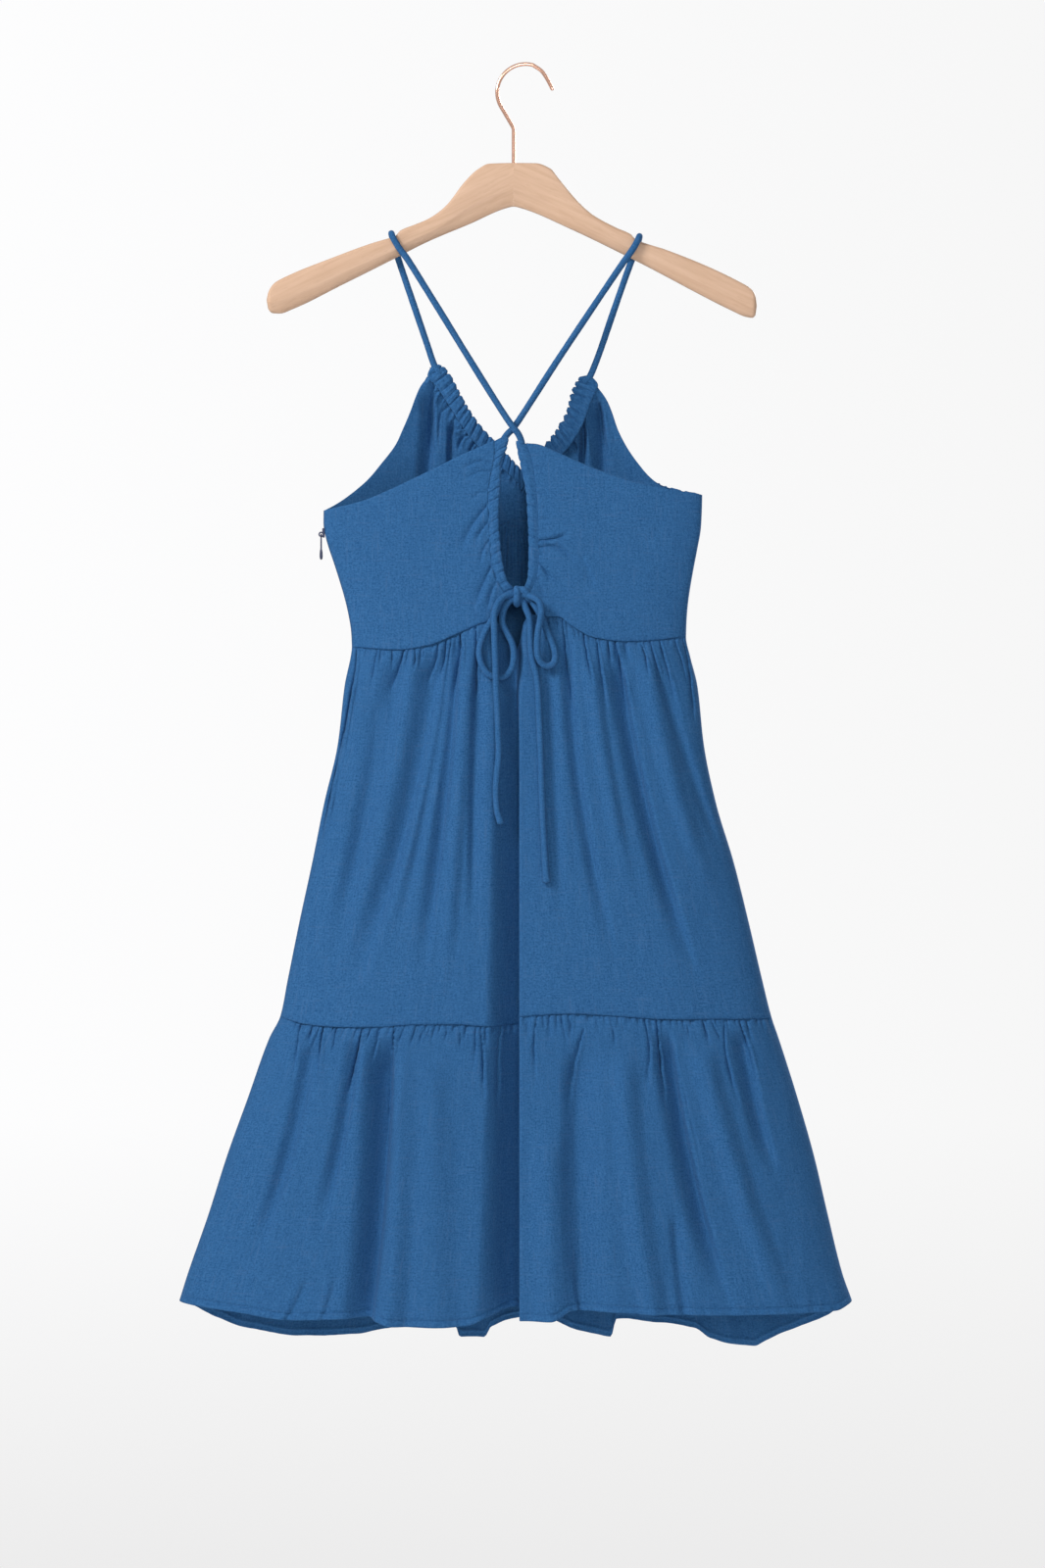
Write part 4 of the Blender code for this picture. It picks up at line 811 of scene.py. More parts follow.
def poly_curve(name: str, lines: list[np.ndarray]) -> bpy.types.Curve:
    """Curve data with a spline along each line of points in metres."""
    curve = bpy.data.curves.new(name, "CURVE")
    curve.dimensions = "3D"
    for line in lines:
        spline = curve.splines.new("POLY")
        spline.points.add(len(line) - 1)
        for point, where in zip(spline.points, line):
            point.co = (*where, 1.0)
    return curve


def ball(name: str, size: tuple[float, float, float], segments: int, rings: int,
         centre: tuple[float, ...] | np.ndarray = (0.0, 0.0, 0.0)) -> bpy.types.Object:
    """A ball stretched to a size.

    Args:
        name: the object's name.
        size: its size in millimetres.
        segments: faces round it.
        rings: faces from pole to pole.
        centre: its centre in metres.

    Returns:
        The new object.
    """
    bm = bmesh.new()
    bmesh.ops.create_uvsphere(bm, u_segments=segments, v_segments=rings, radius=0.5)
    bmesh.ops.scale(bm, vec=Vector(size) * MM, verts=bm.verts)
    bmesh.ops.translate(bm, vec=Vector(centre), verts=bm.verts)
    mesh = bpy.data.meshes.new(name)
    bm.to_mesh(mesh)
    bm.free()
    mesh.shade_smooth()
    return add_object(name, mesh)


def grid_object(name: str, points: np.ndarray, weave: np.ndarray, closed: bool = False,
                caps: bool = False) -> bpy.types.Object:
    """A mesh from a grid of points, with a map for its weave.

    Args:
        name: the object's name.
        points: rows by columns of points in metres.
        weave: rows by columns of places on the cloth in metres. A closed grid has one column more.
        closed: whether the last column joins the first.
        caps: whether the first and last rows are filled.

    Returns:
        The new object.
    """
    rows, columns = points.shape[:2]
    wrap = columns if closed else columns - 1
    r, c = np.meshgrid(np.arange(rows - 1), np.arange(wrap), indexing="ij")
    after = (c + 1) % columns
    quads = np.stack([r * columns + c, (r + 1) * columns + c, (r + 1) * columns + after,
                      r * columns + after], axis=-1).reshape(-1, 4)
    faces = [tuple(quad) for quad in quads.tolist()]
    map_corners = np.stack([weave[r, c], weave[r + 1, c], weave[r + 1, c + 1], weave[r, c + 1]],
                           axis=2).reshape(-1, 2)
    if caps:
        faces.append(tuple(range(columns)))
        last = (rows - 1) * columns
        faces.append(tuple(range(last + columns - 1, last - 1, -1)))
        map_corners = np.concatenate([map_corners, weave[0, :columns],
                                      weave[-1, :columns][::-1]])
    mesh = bpy.data.meshes.new(name)
    mesh.from_pydata(points.reshape(-1, 3).tolist(), [], faces)
    layer = mesh.uv_layers.new(name="weave")
    layer.data.foreach_set("uv", map_corners.astype(np.float32).ravel())
    mesh.shade_smooth()
    mesh.update()
    return add_object(name, mesh)


def point_out(obj: bpy.types.Object) -> None:
    """Turn a closed mesh's faces to point out."""
    bm = bmesh.new()
    bm.from_mesh(obj.data)
    bmesh.ops.recalc_face_normals(bm, faces=bm.faces)
    bm.to_mesh(obj.data)
    bm.free()


def join_objects(name: str, parts: list[bpy.types.Object]) -> bpy.types.Object:
    """Put several mesh objects that lie in the part's frame into one."""
    bm = bmesh.new()
    for part in parts:
        bm.from_mesh(part.data)
    mesh = bpy.data.meshes.new(name)
    bm.to_mesh(mesh)
    bm.free()
    for material in parts[0].data.materials:
        mesh.materials.append(material)
    for part in parts:
        bpy.data.objects.remove(part)
    mesh.shade_smooth()
    return add_object(name, mesh)


class Board:
    """A node tree with short calls that add and join its nodes."""

    def __init__(self, tree: bpy.types.NodeTree) -> None:
        """Keep the tree."""
        self.tree = tree

    def add(self, kind: str, inputs: dict | None = None, **settings: object) -> bpy.types.Node:
        """Add a node.

        Args:
            kind: Blender's name for the node.
            inputs: a value or another node's output for each named or numbered input.
            **settings: the node's own properties.

        Returns:
            The node.
        """
        node = self.tree.nodes.new(kind)
        for key, value in settings.items():
            setattr(node, key, value)
        self.connect(node, inputs or {})
        return node

    def connect(self, node: bpy.types.Node, inputs: dict) -> None:
        """Set a node's named or numbered inputs to values or to other nodes' outputs."""
        for key, value in inputs.items():
            if isinstance(value, bpy.types.NodeSocket):
                self.tree.links.new(value, node.inputs[key])
            else:
                node.inputs[key].default_value = value

    def math(self, operation: str, a: object, b: object = 0.0) -> bpy.types.NodeSocket:
        """The output of a Math node on two numbers."""
        return self.add("ShaderNodeMath", {0: a, 1: b}, operation=operation).outputs[0]

    def plus(self, a: object, b: object) -> bpy.types.NodeSocket:
        """The sum of two numbers."""
        return self.math("ADD", a, b)

    def times(self, a: object, b: object) -> bpy.types.NodeSocket:
        """The product of two numbers."""
        return self.math("MULTIPLY", a, b)

    def noise(self, vector: object, scale: float, detail: float = 2.0,
              roughness: float = 0.5) -> bpy.types.NodeSocket:
        """The height of a noise texture at a vector."""
        return self.add("ShaderNodeTexNoise", {"Vector": vector, "Scale": scale, "Detail": detail,
                                               "Roughness": roughness}).outputs["Fac"]

    def scaled(self, vector: object, scale: tuple[float, float, float]) -> bpy.types.NodeSocket:
        """A vector multiplied by three numbers."""
        return self.add("ShaderNodeVectorMath", {0: vector, 1: scale},
                        operation="MULTIPLY").outputs[0]

    def mix(self, share: object, first: object, second: object) -> bpy.types.NodeSocket:
        """A colour between two colours."""
        return self.add("ShaderNodeMix", {"Factor": share, 6: first, 7: second},
                        data_type="RGBA").outputs[2]

    def between(self, value: object, low: float, high: float) -> bpy.types.NodeSocket:
        """A number's share of the way from low to high, kept from 0 to 1."""
        return self.add("ShaderNodeMapRange", {"Value": value, "From Min": low,
                                               "From Max": high}).outputs["Result"]


def new_group(name: str, inputs: tuple[tuple[str, str, object], ...],
              outputs: tuple[tuple[str, str], ...]) -> tuple[Board, bpy.types.Node,
                                                             bpy.types.Node]:
    """Start a shader node group.

    Args:
        name: the group's name.
        inputs: name, socket type and default of each input.
        outputs: name and socket type of each output.

    Returns:
        Its board, its input node and its output node.
    """
    tree = bpy.data.node_groups.new(name, "ShaderNodeTree")
    for label, kind, default in inputs:
        socket = tree.interface.new_socket(label, in_out="INPUT", socket_type=kind)
        if default is not None:
            socket.default_value = default
    for label, kind in outputs:
        tree.interface.new_socket(label, in_out="OUTPUT", socket_type=kind)
    board = Board(tree)
    return board, board.add("NodeGroupInput"), board.add("NodeGroupOutput")


def weave_group() -> bpy.types.NodeTree:
    """Plain weave with slubs: what a thread's place on the cloth does to colour and height."""
    board, start, end = new_group(
        "slub_weave",
        (("Place", "NodeSocketVector", None), ("Threads", "NodeSocketFloat", 1300.0)),
        (("Shade", "NodeSocketFloat"), ("Streak", "NodeSocketFloat"),
         ("Height", "NodeSocketFloat")))
    scaled = board.add("ShaderNodeVectorMath", {0: start.outputs["Place"],
                                                "Scale": start.outputs["Threads"]},
                       operation="SCALE").outputs[0]
    warp, weft, broad_warp, broad_weft = (
        board.noise(board.scaled(scaled, stretch), 1.0, 3.0, roughness)
        for stretch, roughness in (((1.0, 0.07, 1.0), 0.6), ((0.09, 1.0, 1.0), 0.6),
                                   ((0.3, 0.024, 1.0), 0.55), ((0.03, 0.34, 1.0), 0.55)))
    fleck = board.noise(scaled, 0.42, 3.0, 0.65)
    fine = board.plus(warp, weft)
    broad = board.plus(broad_warp, board.times(broad_weft, 0.6))
    total = board.plus(board.times(fine, 0.25), board.times(broad, 0.12))
    total = board.plus(total, board.times(fleck, 0.6))
    shade = board.between(total, 0.44, 0.85)
    streak = board.between(board.math("MAXIMUM", broad_warp, broad_weft), 0.58, 0.82)
    parts = board.add("ShaderNodeSeparateXYZ", {0: scaled})
    over = board.math("SINE", board.times(parts.outputs[0], math.pi))
    under = board.math("SINE", board.times(parts.outputs[1], math.pi))
    crossing = board.times(board.times(over, under), 0.5)
    height = board.plus(crossing, board.times(fine, 0.9))
    board.connect(end, {"Shade": shade, "Streak": streak, "Height": height})
    return board.tree


def grain_group() -> bpy.types.NodeTree:
    """Beech grain that runs along X of the place it is given."""
    board, start, end = new_group(
        "beech_grain", (("Place", "NodeSocketVector", None),),
        (("Figure", "NodeSocketFloat"), ("Fleck", "NodeSocketFloat"),
         ("Height", "NodeSocketFloat")))
    place_socket = start.outputs["Place"]
    drift = board.noise(board.scaled(place_socket, (3.0, 9.0, 9.0)), 1.0, 2.0, 0.5)
    drifted = board.add("ShaderNodeVectorMath", {
        0: board.scaled(place_socket, (9.0, 240.0, 230.0)),
        1: board.add("ShaderNodeCombineXYZ", {
            1: board.times(drift, 9.0),
            2: board.times(drift, 7.0)}).outputs[0]}, operation="ADD").outputs[0]
    figure = board.noise(drifted, 1.0, 4.0, 0.6)
    fleck = board.noise(board.scaled(place_socket, (110.0, 900.0, 700.0)), 1.0, 2.0, 0.5)
    board.connect(end, {"Figure": board.between(figure, 0.32, 0.68),
                        "Fleck": board.between(fleck, 0.58, 0.74),
                        "Height": board.plus(board.times(figure, 0.6), board.times(fleck, 0.6))})
    return board.tree


def dust_group() -> bpy.types.NodeTree:
    """Faint uneven gloss, from handling and dust."""
    board, start, end = new_group(
        "uneven_gloss", (("Place", "NodeSocketVector", None),
                         ("Even", "NodeSocketFloat", 0.2), ("Change", "NodeSocketFloat", 0.1)),
        (("Roughness", "NodeSocketFloat"),))
    patches = board.noise(start.outputs["Place"], 90.0, 4.0, 0.6)
    change = board.times(patches, start.outputs["Change"])
    board.connect(end, {"Roughness": board.plus(start.outputs["Even"], change)})
    return board.tree


class Groups:
    """The shared shader node groups, each built once."""

    def __init__(self) -> None:
        """Build the groups."""
        self.weave = weave_group()
        self.grain = grain_group()
        self.gloss = dust_group()


def new_material(name: str) -> tuple[bpy.types.Material, Board, bpy.types.Node]:
    """Start a material: the material itself, its board and its shader."""
    material = bpy.data.materials.new(name)
    material.use_nodes = True
    return material, Board(material.node_tree), material.node_tree.nodes["Principled BSDF"]


@dataclass(frozen=True)
class ClothFinish:
    """The dress's crinkled cotton and linen cloth."""

    name: str
    coordinates: Coordinates = Coordinates.WEAVE
    deep: tuple[float, float, float] = (0.009, 0.060, 0.176)
    pale: tuple[float, float, float] = (0.046, 0.166, 0.372)
    grey: tuple[float, float, float] = (0.070, 0.134, 0.268)
    streaks: float = 0.42
    rough: float = 0.92
    pale_gloss: float = 0.1
    threads: float = 1300.0
    nap: float = 0.00022
    relief: float = 0.55

    def material(self, groups: Groups) -> bpy.types.Material:
        """Build the cloth's material.

        Args:
            groups: the shared node groups.

        Returns:
            The material.
        """
        material, board, shader = new_material(self.name)
        if self.coordinates is Coordinates.WEAVE:
            where = board.add("ShaderNodeUVMap", uv_map="weave").outputs["UV"]
        else:
            where = board.add("ShaderNodeMapping", {
                "Vector": board.add("ShaderNodeTexCoord").outputs["Object"],
                "Rotation": (math.radians(90.0), 0.0, 0.0)}).outputs[0]
        weave = board.add("ShaderNodeGroup", {"Place": where, "Threads": self.threads},
                          node_tree=groups.weave)
        base = board.mix(weave.outputs["Shade"], (*self.deep, 1.0), (*self.pale, 1.0))
        streaked = board.times(weave.outputs["Streak"], self.streaks)
        rough = board.times(board.between(weave.outputs["Shade"], 0.0, 1.0), -self.pale_gloss)
        relief = board.add("ShaderNodeBump", {"Height": weave.outputs["Height"],
                                              "Strength": self.relief, "Distance": self.nap})
        board.connect(shader, {
            "Base Color": board.mix(streaked, base, (*self.grey, 1.0)),
            "Roughness": board.plus(rough, self.rough), "Normal": relief.outputs[0],
            "Sheen Weight": 0.05, "Sheen Roughness": 0.5, "Sheen Tint": (0.45, 0.65, 1.0, 1.0),
            "Specular IOR Level": 0.12})
        return material


@dataclass(frozen=True)
class BeechFinish:
    """The hanger's pale beech, with its grain along one arm."""

    name: str
    slope: float
    pale: tuple[float, float, float] = (0.680, 0.452, 0.312)
    warm: tuple[float, float, float] = (0.527, 0.318, 0.194)
    fleck: tuple[float, float, float] = (0.475, 0.273, 0.171)
    figure_share: float = 0.55
    fleck_share: float = 0.22

    def material(self, groups: Groups) -> bpy.types.Material:
        """Build the wood's material.

        Args:
            groups: the shared node groups.

        Returns:
            The material.
        """
        material, board, shader = new_material(self.name)
        turned = board.add("ShaderNodeMapping", {
            "Vector": board.add("ShaderNodeTexCoord").outputs["Object"],
            "Rotation": (0.0, self.slope, 0.0)}).outputs[0]
        grain = board.add("ShaderNodeGroup", {"Place": turned}, node_tree=groups.grain)
        figured = board.mix(board.times(grain.outputs["Figure"], self.figure_share),
                            (*self.pale, 1.0), (*self.warm, 1.0))
        flecked = board.mix(board.times(grain.outputs["Fleck"], self.fleck_share), figured,
                            (*self.fleck, 1.0))
        gloss = board.add("ShaderNodeGroup", {"Place": turned, "Even": 0.42, "Change": 0.16},
                          node_tree=groups.gloss)
        relief = board.add("ShaderNodeBump", {"Height": grain.outputs["Height"],
                                              "Strength": 0.08, "Distance": 0.0002})
        board.connect(shader, {"Base Color": flecked, "Roughness": gloss.outputs[0],
                               "Normal": relief.outputs[0], "Specular IOR Level": 0.35})
        return material


@dataclass(frozen=True)
class MetalFinish:
    """Plated or coated metal."""

    name: str
    colour: tuple[float, float, float]
    metallic: float
    even: float
    change: float

    def material(self, groups: Groups) -> bpy.types.Material:
        """Build the metal's material.

        Args:
            groups: the shared node groups.

        Returns:
            The material.
        """
        material, board, shader = new_material(self.name)
        where = board.add("ShaderNodeTexCoord").outputs["Object"]
        gloss = board.add("ShaderNodeGroup", {
            "Place": where, "Even": self.even, "Change": self.change}, node_tree=groups.gloss)
        worn = board.times(board.noise(where, 260.0, 3.0), 0.25)
        darker = tuple(0.72 * part for part in self.colour)
        board.connect(shader, {
            "Base Color": board.mix(worn, (*self.colour, 1.0), (*darker, 1.0)),
            "Roughness": gloss.outputs[0], "Metallic": self.metallic})
        return material


def wear(obj: bpy.types.Object, material: bpy.types.Material) -> None:
    """Give an object one material."""
    obj.data.materials.clear()
    obj.data.materials.append(material)


def shell(obj: bpy.types.Object, thickness: float = CLOTH) -> bpy.types.Object:
    """Give a cloth sheet its thickness, on the inner side."""
    solid = obj.modifiers.new("thickness", "SOLIDIFY")
    solid.thickness = thickness * MM
    solid.offset = -1.0
    solid.use_even_offset = False
    return finish_mesh(obj)


@dataclass
class SkirtTier:
    """One gathered panel between two seams that run from side to side."""

    name: str
    side: Side
    top_edge: Rows
    low_edge: Rows
    folds: tuple[Fold, ...]
    gathers: Gathers
    columns: int
    row_step: float
    flat: tuple[float, float]
    hemmed: bool = False
    tuck: float = 2.2
    tuck_reach: float = 2.4
    tucked_rows: float = 3.0
    creases: tuple[Crease, ...] = ()
    hem_stitch: float = 5.5
    stitch_proud: float = 0.12
    crowding: float = 0.45
    knife_columns: int = 20
    knife_share: float = 0.05
    seam_rows: float = 24.0
    gathered_rows: float = 84.0
    hem_rows: float = 10.0
    seam_roll: float = 0.8
    hem_double: float = 0.7
    hem_groove: float = 1.5
    hem_pucker: float = 0.35
    swells: Rows = ((0.75, 30, 110), (0.4, 11, 42), (0.2, 5, 13))

    def shares_across(self) -> np.ndarray:
        """Column places: -1 is the left side seam, 0 the centre and 1 the right one."""
        if self.side is Side.BACK:
            half = self.columns // 2
            left = np.linspace(-1.0, -self.knife_share, half)
            knife = np.linspace(-self.knife_share, 0.0, self.knife_columns)[1:]
            right = np.linspace(0.0, 1.0, half)[1:]
            out = np.concatenate([left, knife, right])
        else:
            out = np.linspace(-1.0, 1.0, self.columns)
        size = ((1.0 - self.crowding) * np.abs(out)
                + self.crowding * np.sin(0.5 * math.pi * np.abs(out)))
        return np.sign(out) * size

    def shares_down(self, height: float) -> np.ndarray:
        """Row places, from just above the seam to the low edge, closer together at each end."""
        stops = (-self.tucked_rows, self.seam_rows, self.gathered_rows, height - self.hem_rows)
        first, second, middle = (
            np.linspace(start, end, int((end - start) / (share * self.row_step)) + 1)[:-1]
            for start, end, share in zip(stops, stops[1:], (0.3, 0.6, 1.0)))
        last = np.linspace(height - self.hem_rows, height, 9)
        return np.concatenate([first, second, middle, last]) / height

    def grid(self) -> tuple[np.ndarray, np.ndarray]:
        """The panel's points.

        Returns:
            Rows by columns of x, y and drop, and the distance above the low edge.
        """
        out = self.shares_across()
        size = np.abs(out)
        left, right = (0, -1)
        top_end = np.where(out < 0.0, self.top_edge[left][0], self.top_edge[right][0])
        low_end = np.where(out < 0.0, self.low_edge[left][0], self.low_edge[right][0])
        top_x = MIDDLE + (top_end - MIDDLE) * size
        low_x = MIDDLE + (low_end - MIDDLE) * size
        top, low = Table(self.top_edge).at(top_x), Table(self.low_edge).at(low_x)
        down = self.shares_down(float(np.median(low - top)))[:, None]
        drop = blend(top, low, down)
        bow = np.zeros_like(drop)
        for end, outline, mask in ((left, FORM.left, out < 0.0), (right, FORM.right, out >= 0.0)):
            side_drop = blend(self.top_edge[end][1], self.low_edge[end][1], down)
            straight = blend(self.top_edge[end][0], self.low_edge[end][0], down)
            bow += np.where(mask, outline.at(side_drop) - straight, 0.0)
        x = blend(top_x, low_x, down) + bow * size
        below, above = drop - top, low - drop
        along = np.broadcast_to(top_x - top_x[0], x.shape)
        push = FORM.fold_push(self.folds, x, drop)
        if self.side is Side.BACK:
            push = push + FORM.knife_push(x, drop)
        push = push + self.gathers.push(along, below, float(top_x[-1] - top_x[0]))
        push = push + crease_push(self.creases, x, drop, 0.55, 1.5)
        push = push + crinkle(self.swells, x, drop, self.gathers.seed * 7)
        push = push + self.tuck * np.exp(-(np.maximum(below, 0.0) / self.tuck_reach) ** 2)
        if self.hemmed:
            push = push + self.hem(x, above)
        else:
            push = push + self.seam_roll * np.exp(-(above / 1.5) ** 2)
        y = FORM.outer_y(x, drop, self.side, push)
        if self.side is Side.BACK:
            x = x + FORM.knife_tuck(x, drop)
        return np.stack([x, y, drop], axis=-1), above

    def hem(self, x: np.ndarray, above: np.ndarray) -> np.ndarray:
        """The turned hem: double cloth below a stitched groove that puckers a little."""
        single = ease(self.hem_stitch - 0.8, self.hem_stitch + 0.6, above)
        double = -self.hem_double * (1.0 - single)
        groove = self.hem_groove * np.exp(-((above - self.hem_stitch) / 1.1) ** 2)
        wave = np.sin(x / 1.9 + 2.0 * np.sin(x / 9.0))
        pucker = self.hem_pucker * wave * np.exp(-above / 6.0)
        return double + groove + pucker

    def build(self, material: bpy.types.Material) -> tuple[bpy.types.Object, list[np.ndarray]]:
        """Make the panel and find its stitch line.

        Args:
            material: the cloth.

        Returns:
            The panel, and the lines that its hem's stitches follow, in metres.
        """
        points, above = self.grid()
        if self.side is Side.BACK:
            points = points[:, ::-1]
            above = above[:, ::-1]
        world = place(points)
        measured = world[int(0.7 * len(world))]
        steps = np.linalg.norm(np.diff(measured, axis=0), axis=1)
        spread = np.concatenate([[0.0], np.cumsum(steps)])
        weave = np.stack(np.broadcast_arrays(spread[None, :], -points[..., 2] * MM), axis=-1)
        obj = shell(grid_object(self.name, world, weave))
        wear(obj, material)
        lines = []
        if self.hemmed:
            row = int(np.abs(np.median(above, axis=1) - self.hem_stitch).argmin())
            line = world[row].copy()
            line[:, 1] += self.side.value * self.stitch_proud * MM
            lines.append(line)
        return obj, lines


@dataclass
class BodicePanel:
    """A bodice panel between four edges, each read from left to right or from top to bottom."""

    name: str
    side: Side
    top: Route | Corner
    low: Route | Corner
    left: Route | Corner
    right: Route | Corner
    columns: int
    rows: int
    flat: tuple[float, float]
    area: float
    folds: tuple[Fold, ...] = ()
    creases: tuple[Crease, ...] = ()
    gathers: tuple[tuple[Edge, Gathers], ...] = ()
    roll: float = 0.55
    roll_reach: float = 1.3
    swells: Rows = ((0.5, 34, 46), (0.2, 10, 13), (0.08, 4, 5))

    def build(self, material: bpy.types.Material) -> bpy.types.Object:
        """Make the panel.

        Args:
            material: the cloth.

        Returns:
            The panel.
        """
        u = np.linspace(0.0, 1.0, self.columns)[None, :]
        v = np.linspace(0.0, 1.0, self.rows)[:, None]
        top, low = self.top.at(u[0])[None], self.low.at(u[0])[None]
        left, right = self.left.at(v[:, 0])[:, None], self.right.at(v[:, 0])[:, None]
        corners = [self.top.at(0.0), self.top.at(1.0), self.low.at(0.0), self.low.at(1.0)]
        flat = blend(blend(corners[0], corners[1], u[..., None]),
                     blend(corners[2], corners[3], u[..., None]), v[..., None])
        spot = blend(top, low, v[..., None]) + blend(left, right, u[..., None]) - flat
        x, drop = spot[..., 0], spot[..., 1]
        push = FORM.fold_push(self.folds, x, drop)
        push = push + crease_push(self.creases, x, drop, 0.7, 1.3)
        edges = {Edge.TOP: (top, u), Edge.LOW: (low, u), Edge.LEFT: (left, v),
                 Edge.RIGHT: (right, v)}
        away = {edge: np.linalg.norm(spot - line, axis=-1) for edge, (line, _) in edges.items()}
        for edge, gathers in self.gathers:
            line, share = edges[edge]
            span = float(np.linalg.norm(np.diff(line.reshape(-1, 2), axis=0), axis=1).sum())
            push = push + gathers.push(np.broadcast_to(share * span, x.shape), away[edge], span)
        below, above = away[Edge.TOP], away[Edge.LOW]
        push = push + crinkle(self.swells, x, drop, 40 + len(self.name) + self.columns)
        edge = np.minimum(below, above)
        push = push + self.roll * np.exp(-(edge / self.roll_reach) ** 2)
        y = FORM.outer_y(x, drop, self.side, push)
        points = np.stack([x, y, drop], axis=-1)
        weave = np.stack([x * MM, -drop * MM], axis=-1)
        if self.side is Side.BACK:
            points, weave = points[:, ::-1], weave[:, ::-1]
        obj = shell(grid_object(self.name, place(points), weave))
        wear(obj, material)
        return obj


@dataclass
class Channel:
    """A gathered drawcord channel: a flat tube that puckers across its length."""

    name: str
    stitched: Rows
    opening: Rows
    pleats: int
    side: Side
    seed: int
    thick: float = 4.8
    overlap: float = 0.9
    first_overlap: float = 0.0
    round_end: float = 0.1
    pucker: float = 1.25
    turn: float = 0.0
    crisp: float = 0.42
    flatness: float = 0.62
    level: float = 0.62
    wander: float = 0.22
    slant: float = 0.07
    sizes: tuple[float, float] = (0.75, 1.2)
    first_share: float = 0.16
    open_swell: float = 0.15
    fullness: float = 0.84
    thinnest: float = 0.12
    inset: float = 0.7
    girth: float = 0.026
    stitch_in: float = 0.1
    stitch_proud: float = 0.25
    stations: int = 300
    around: int = 22

    def build(self, material: bpy.types.Material) -> tuple[bpy.types.Object, np.ndarray]:
        """Make the channel and find its stitch line.

        Args:
            material: the cloth.

        Returns:
            The channel, and its stitch line in metres.
        """
        share = np.linspace(0.0, 1.0, self.stations)
        edge, rim = Route(self.stitched).at(share), Route(self.opening).at(share)
        across = rim - edge
        wide = np.linalg.norm(across, axis=1, keepdims=True)
        across = across / wide
        angle = np.linspace(0.0, 2.0 * math.pi, self.around, endpoint=False)
        cos, sin = np.cos(angle)[None, :], np.sin(angle)[None, :]
        chance = np.random.default_rng(self.seed)
        ends = np.linspace(0.0, 1.0, self.pleats + 1)
        wander = np.interp(share, ends, chance.uniform(-self.wander, self.wander, len(ends)))
        slant = np.interp(share, ends,
                          self.turn + chance.uniform(-self.slant, self.slant, len(ends)))
        phase = self.pleats * share[:, None] + wander[:, None] + slant[:, None] * cos
        ridge = np.abs(np.sin(math.pi * phase)) ** self.crisp
        extra = 0.25 * np.sin(2.0 * math.pi * 2.3 * phase + 1.0)
        size = chance.uniform(*self.sizes, self.pleats + 2)
        height = np.interp(self.pleats * share, np.arange(self.pleats + 2), size)[:, None]
        swell = (ridge - self.level + 0.3 * extra) * height * self.pucker
        lap = self.overlap + self.first_overlap * (1.0 - ease(0.0, self.first_share, share))
        edge_in = edge - across * lap[:, None]
        centre, half = 0.5 * (edge_in + rim), 0.5 * (rim - edge_in)
        travelled = share * Route(self.stitched).length
        closing = 1.0 - np.clip(travelled / self.round_end, 0.0, 1.0)
        cap = np.sqrt(np.maximum(1.0 - closing * closing, 0.02))[:, None]
        half = half * cap
        reach = np.where(cos > 0.0, 1.0 + self.open_swell * swell, 1.0)
        spot = centre[:, None] + half[:, None] * (cos * reach)[..., None]
        face = FORM.outer_y(centre[:, 0], centre[:, 1], self.side)
        middle_y = face - self.side.value * self.inset
        fall = 0.5 * self.thick * np.maximum(self.thinnest, self.fullness + 0.5 * swell) * cap
        round_off = np.where(cos < -0.2, 0.75, 1.0)
        y = middle_y[:, None] + fall * np.sign(sin) * np.abs(sin) ** self.flatness * round_off
        points = np.concatenate([spot[..., :1], y[..., None], spot[..., 1:]], axis=-1)
        turn = np.linspace(0.0, self.girth, self.around + 1)
        weave = np.stack(np.broadcast_arrays(turn[None, :], travelled[:, None] * MM), axis=-1)
        obj = grid_object(self.name, place(points), weave, closed=True, caps=True)
        point_out(obj)
        wear(obj, material)
        stitch = edge + across * self.stitch_in
        face = FORM.outer_y(stitch[:, 0], stitch[:, 1], self.side)
        stitch_y = face + self.side.value * self.stitch_proud
        line = np.stack([stitch[:, 0], stitch_y, stitch[:, 1]], axis=-1)
        return obj, place(line)


def seam_edge(seam: Rows, start: float, end: float) -> Route:
    """A bodice panel's low edge, read along a seam and held a little above it."""
    places = np.linspace(start, end, 17)
    return Route(tuple(zip(places, Table(seam).at(places) - SEAM_LIFT)))


def side_edge(outline: Table, top: float, low: float) -> Route:
    """A bodice panel's side seam, read along the outline."""
    drops = np.linspace(top, low, 9)
    return Route(tuple(zip(outline.at(drops), drops)))


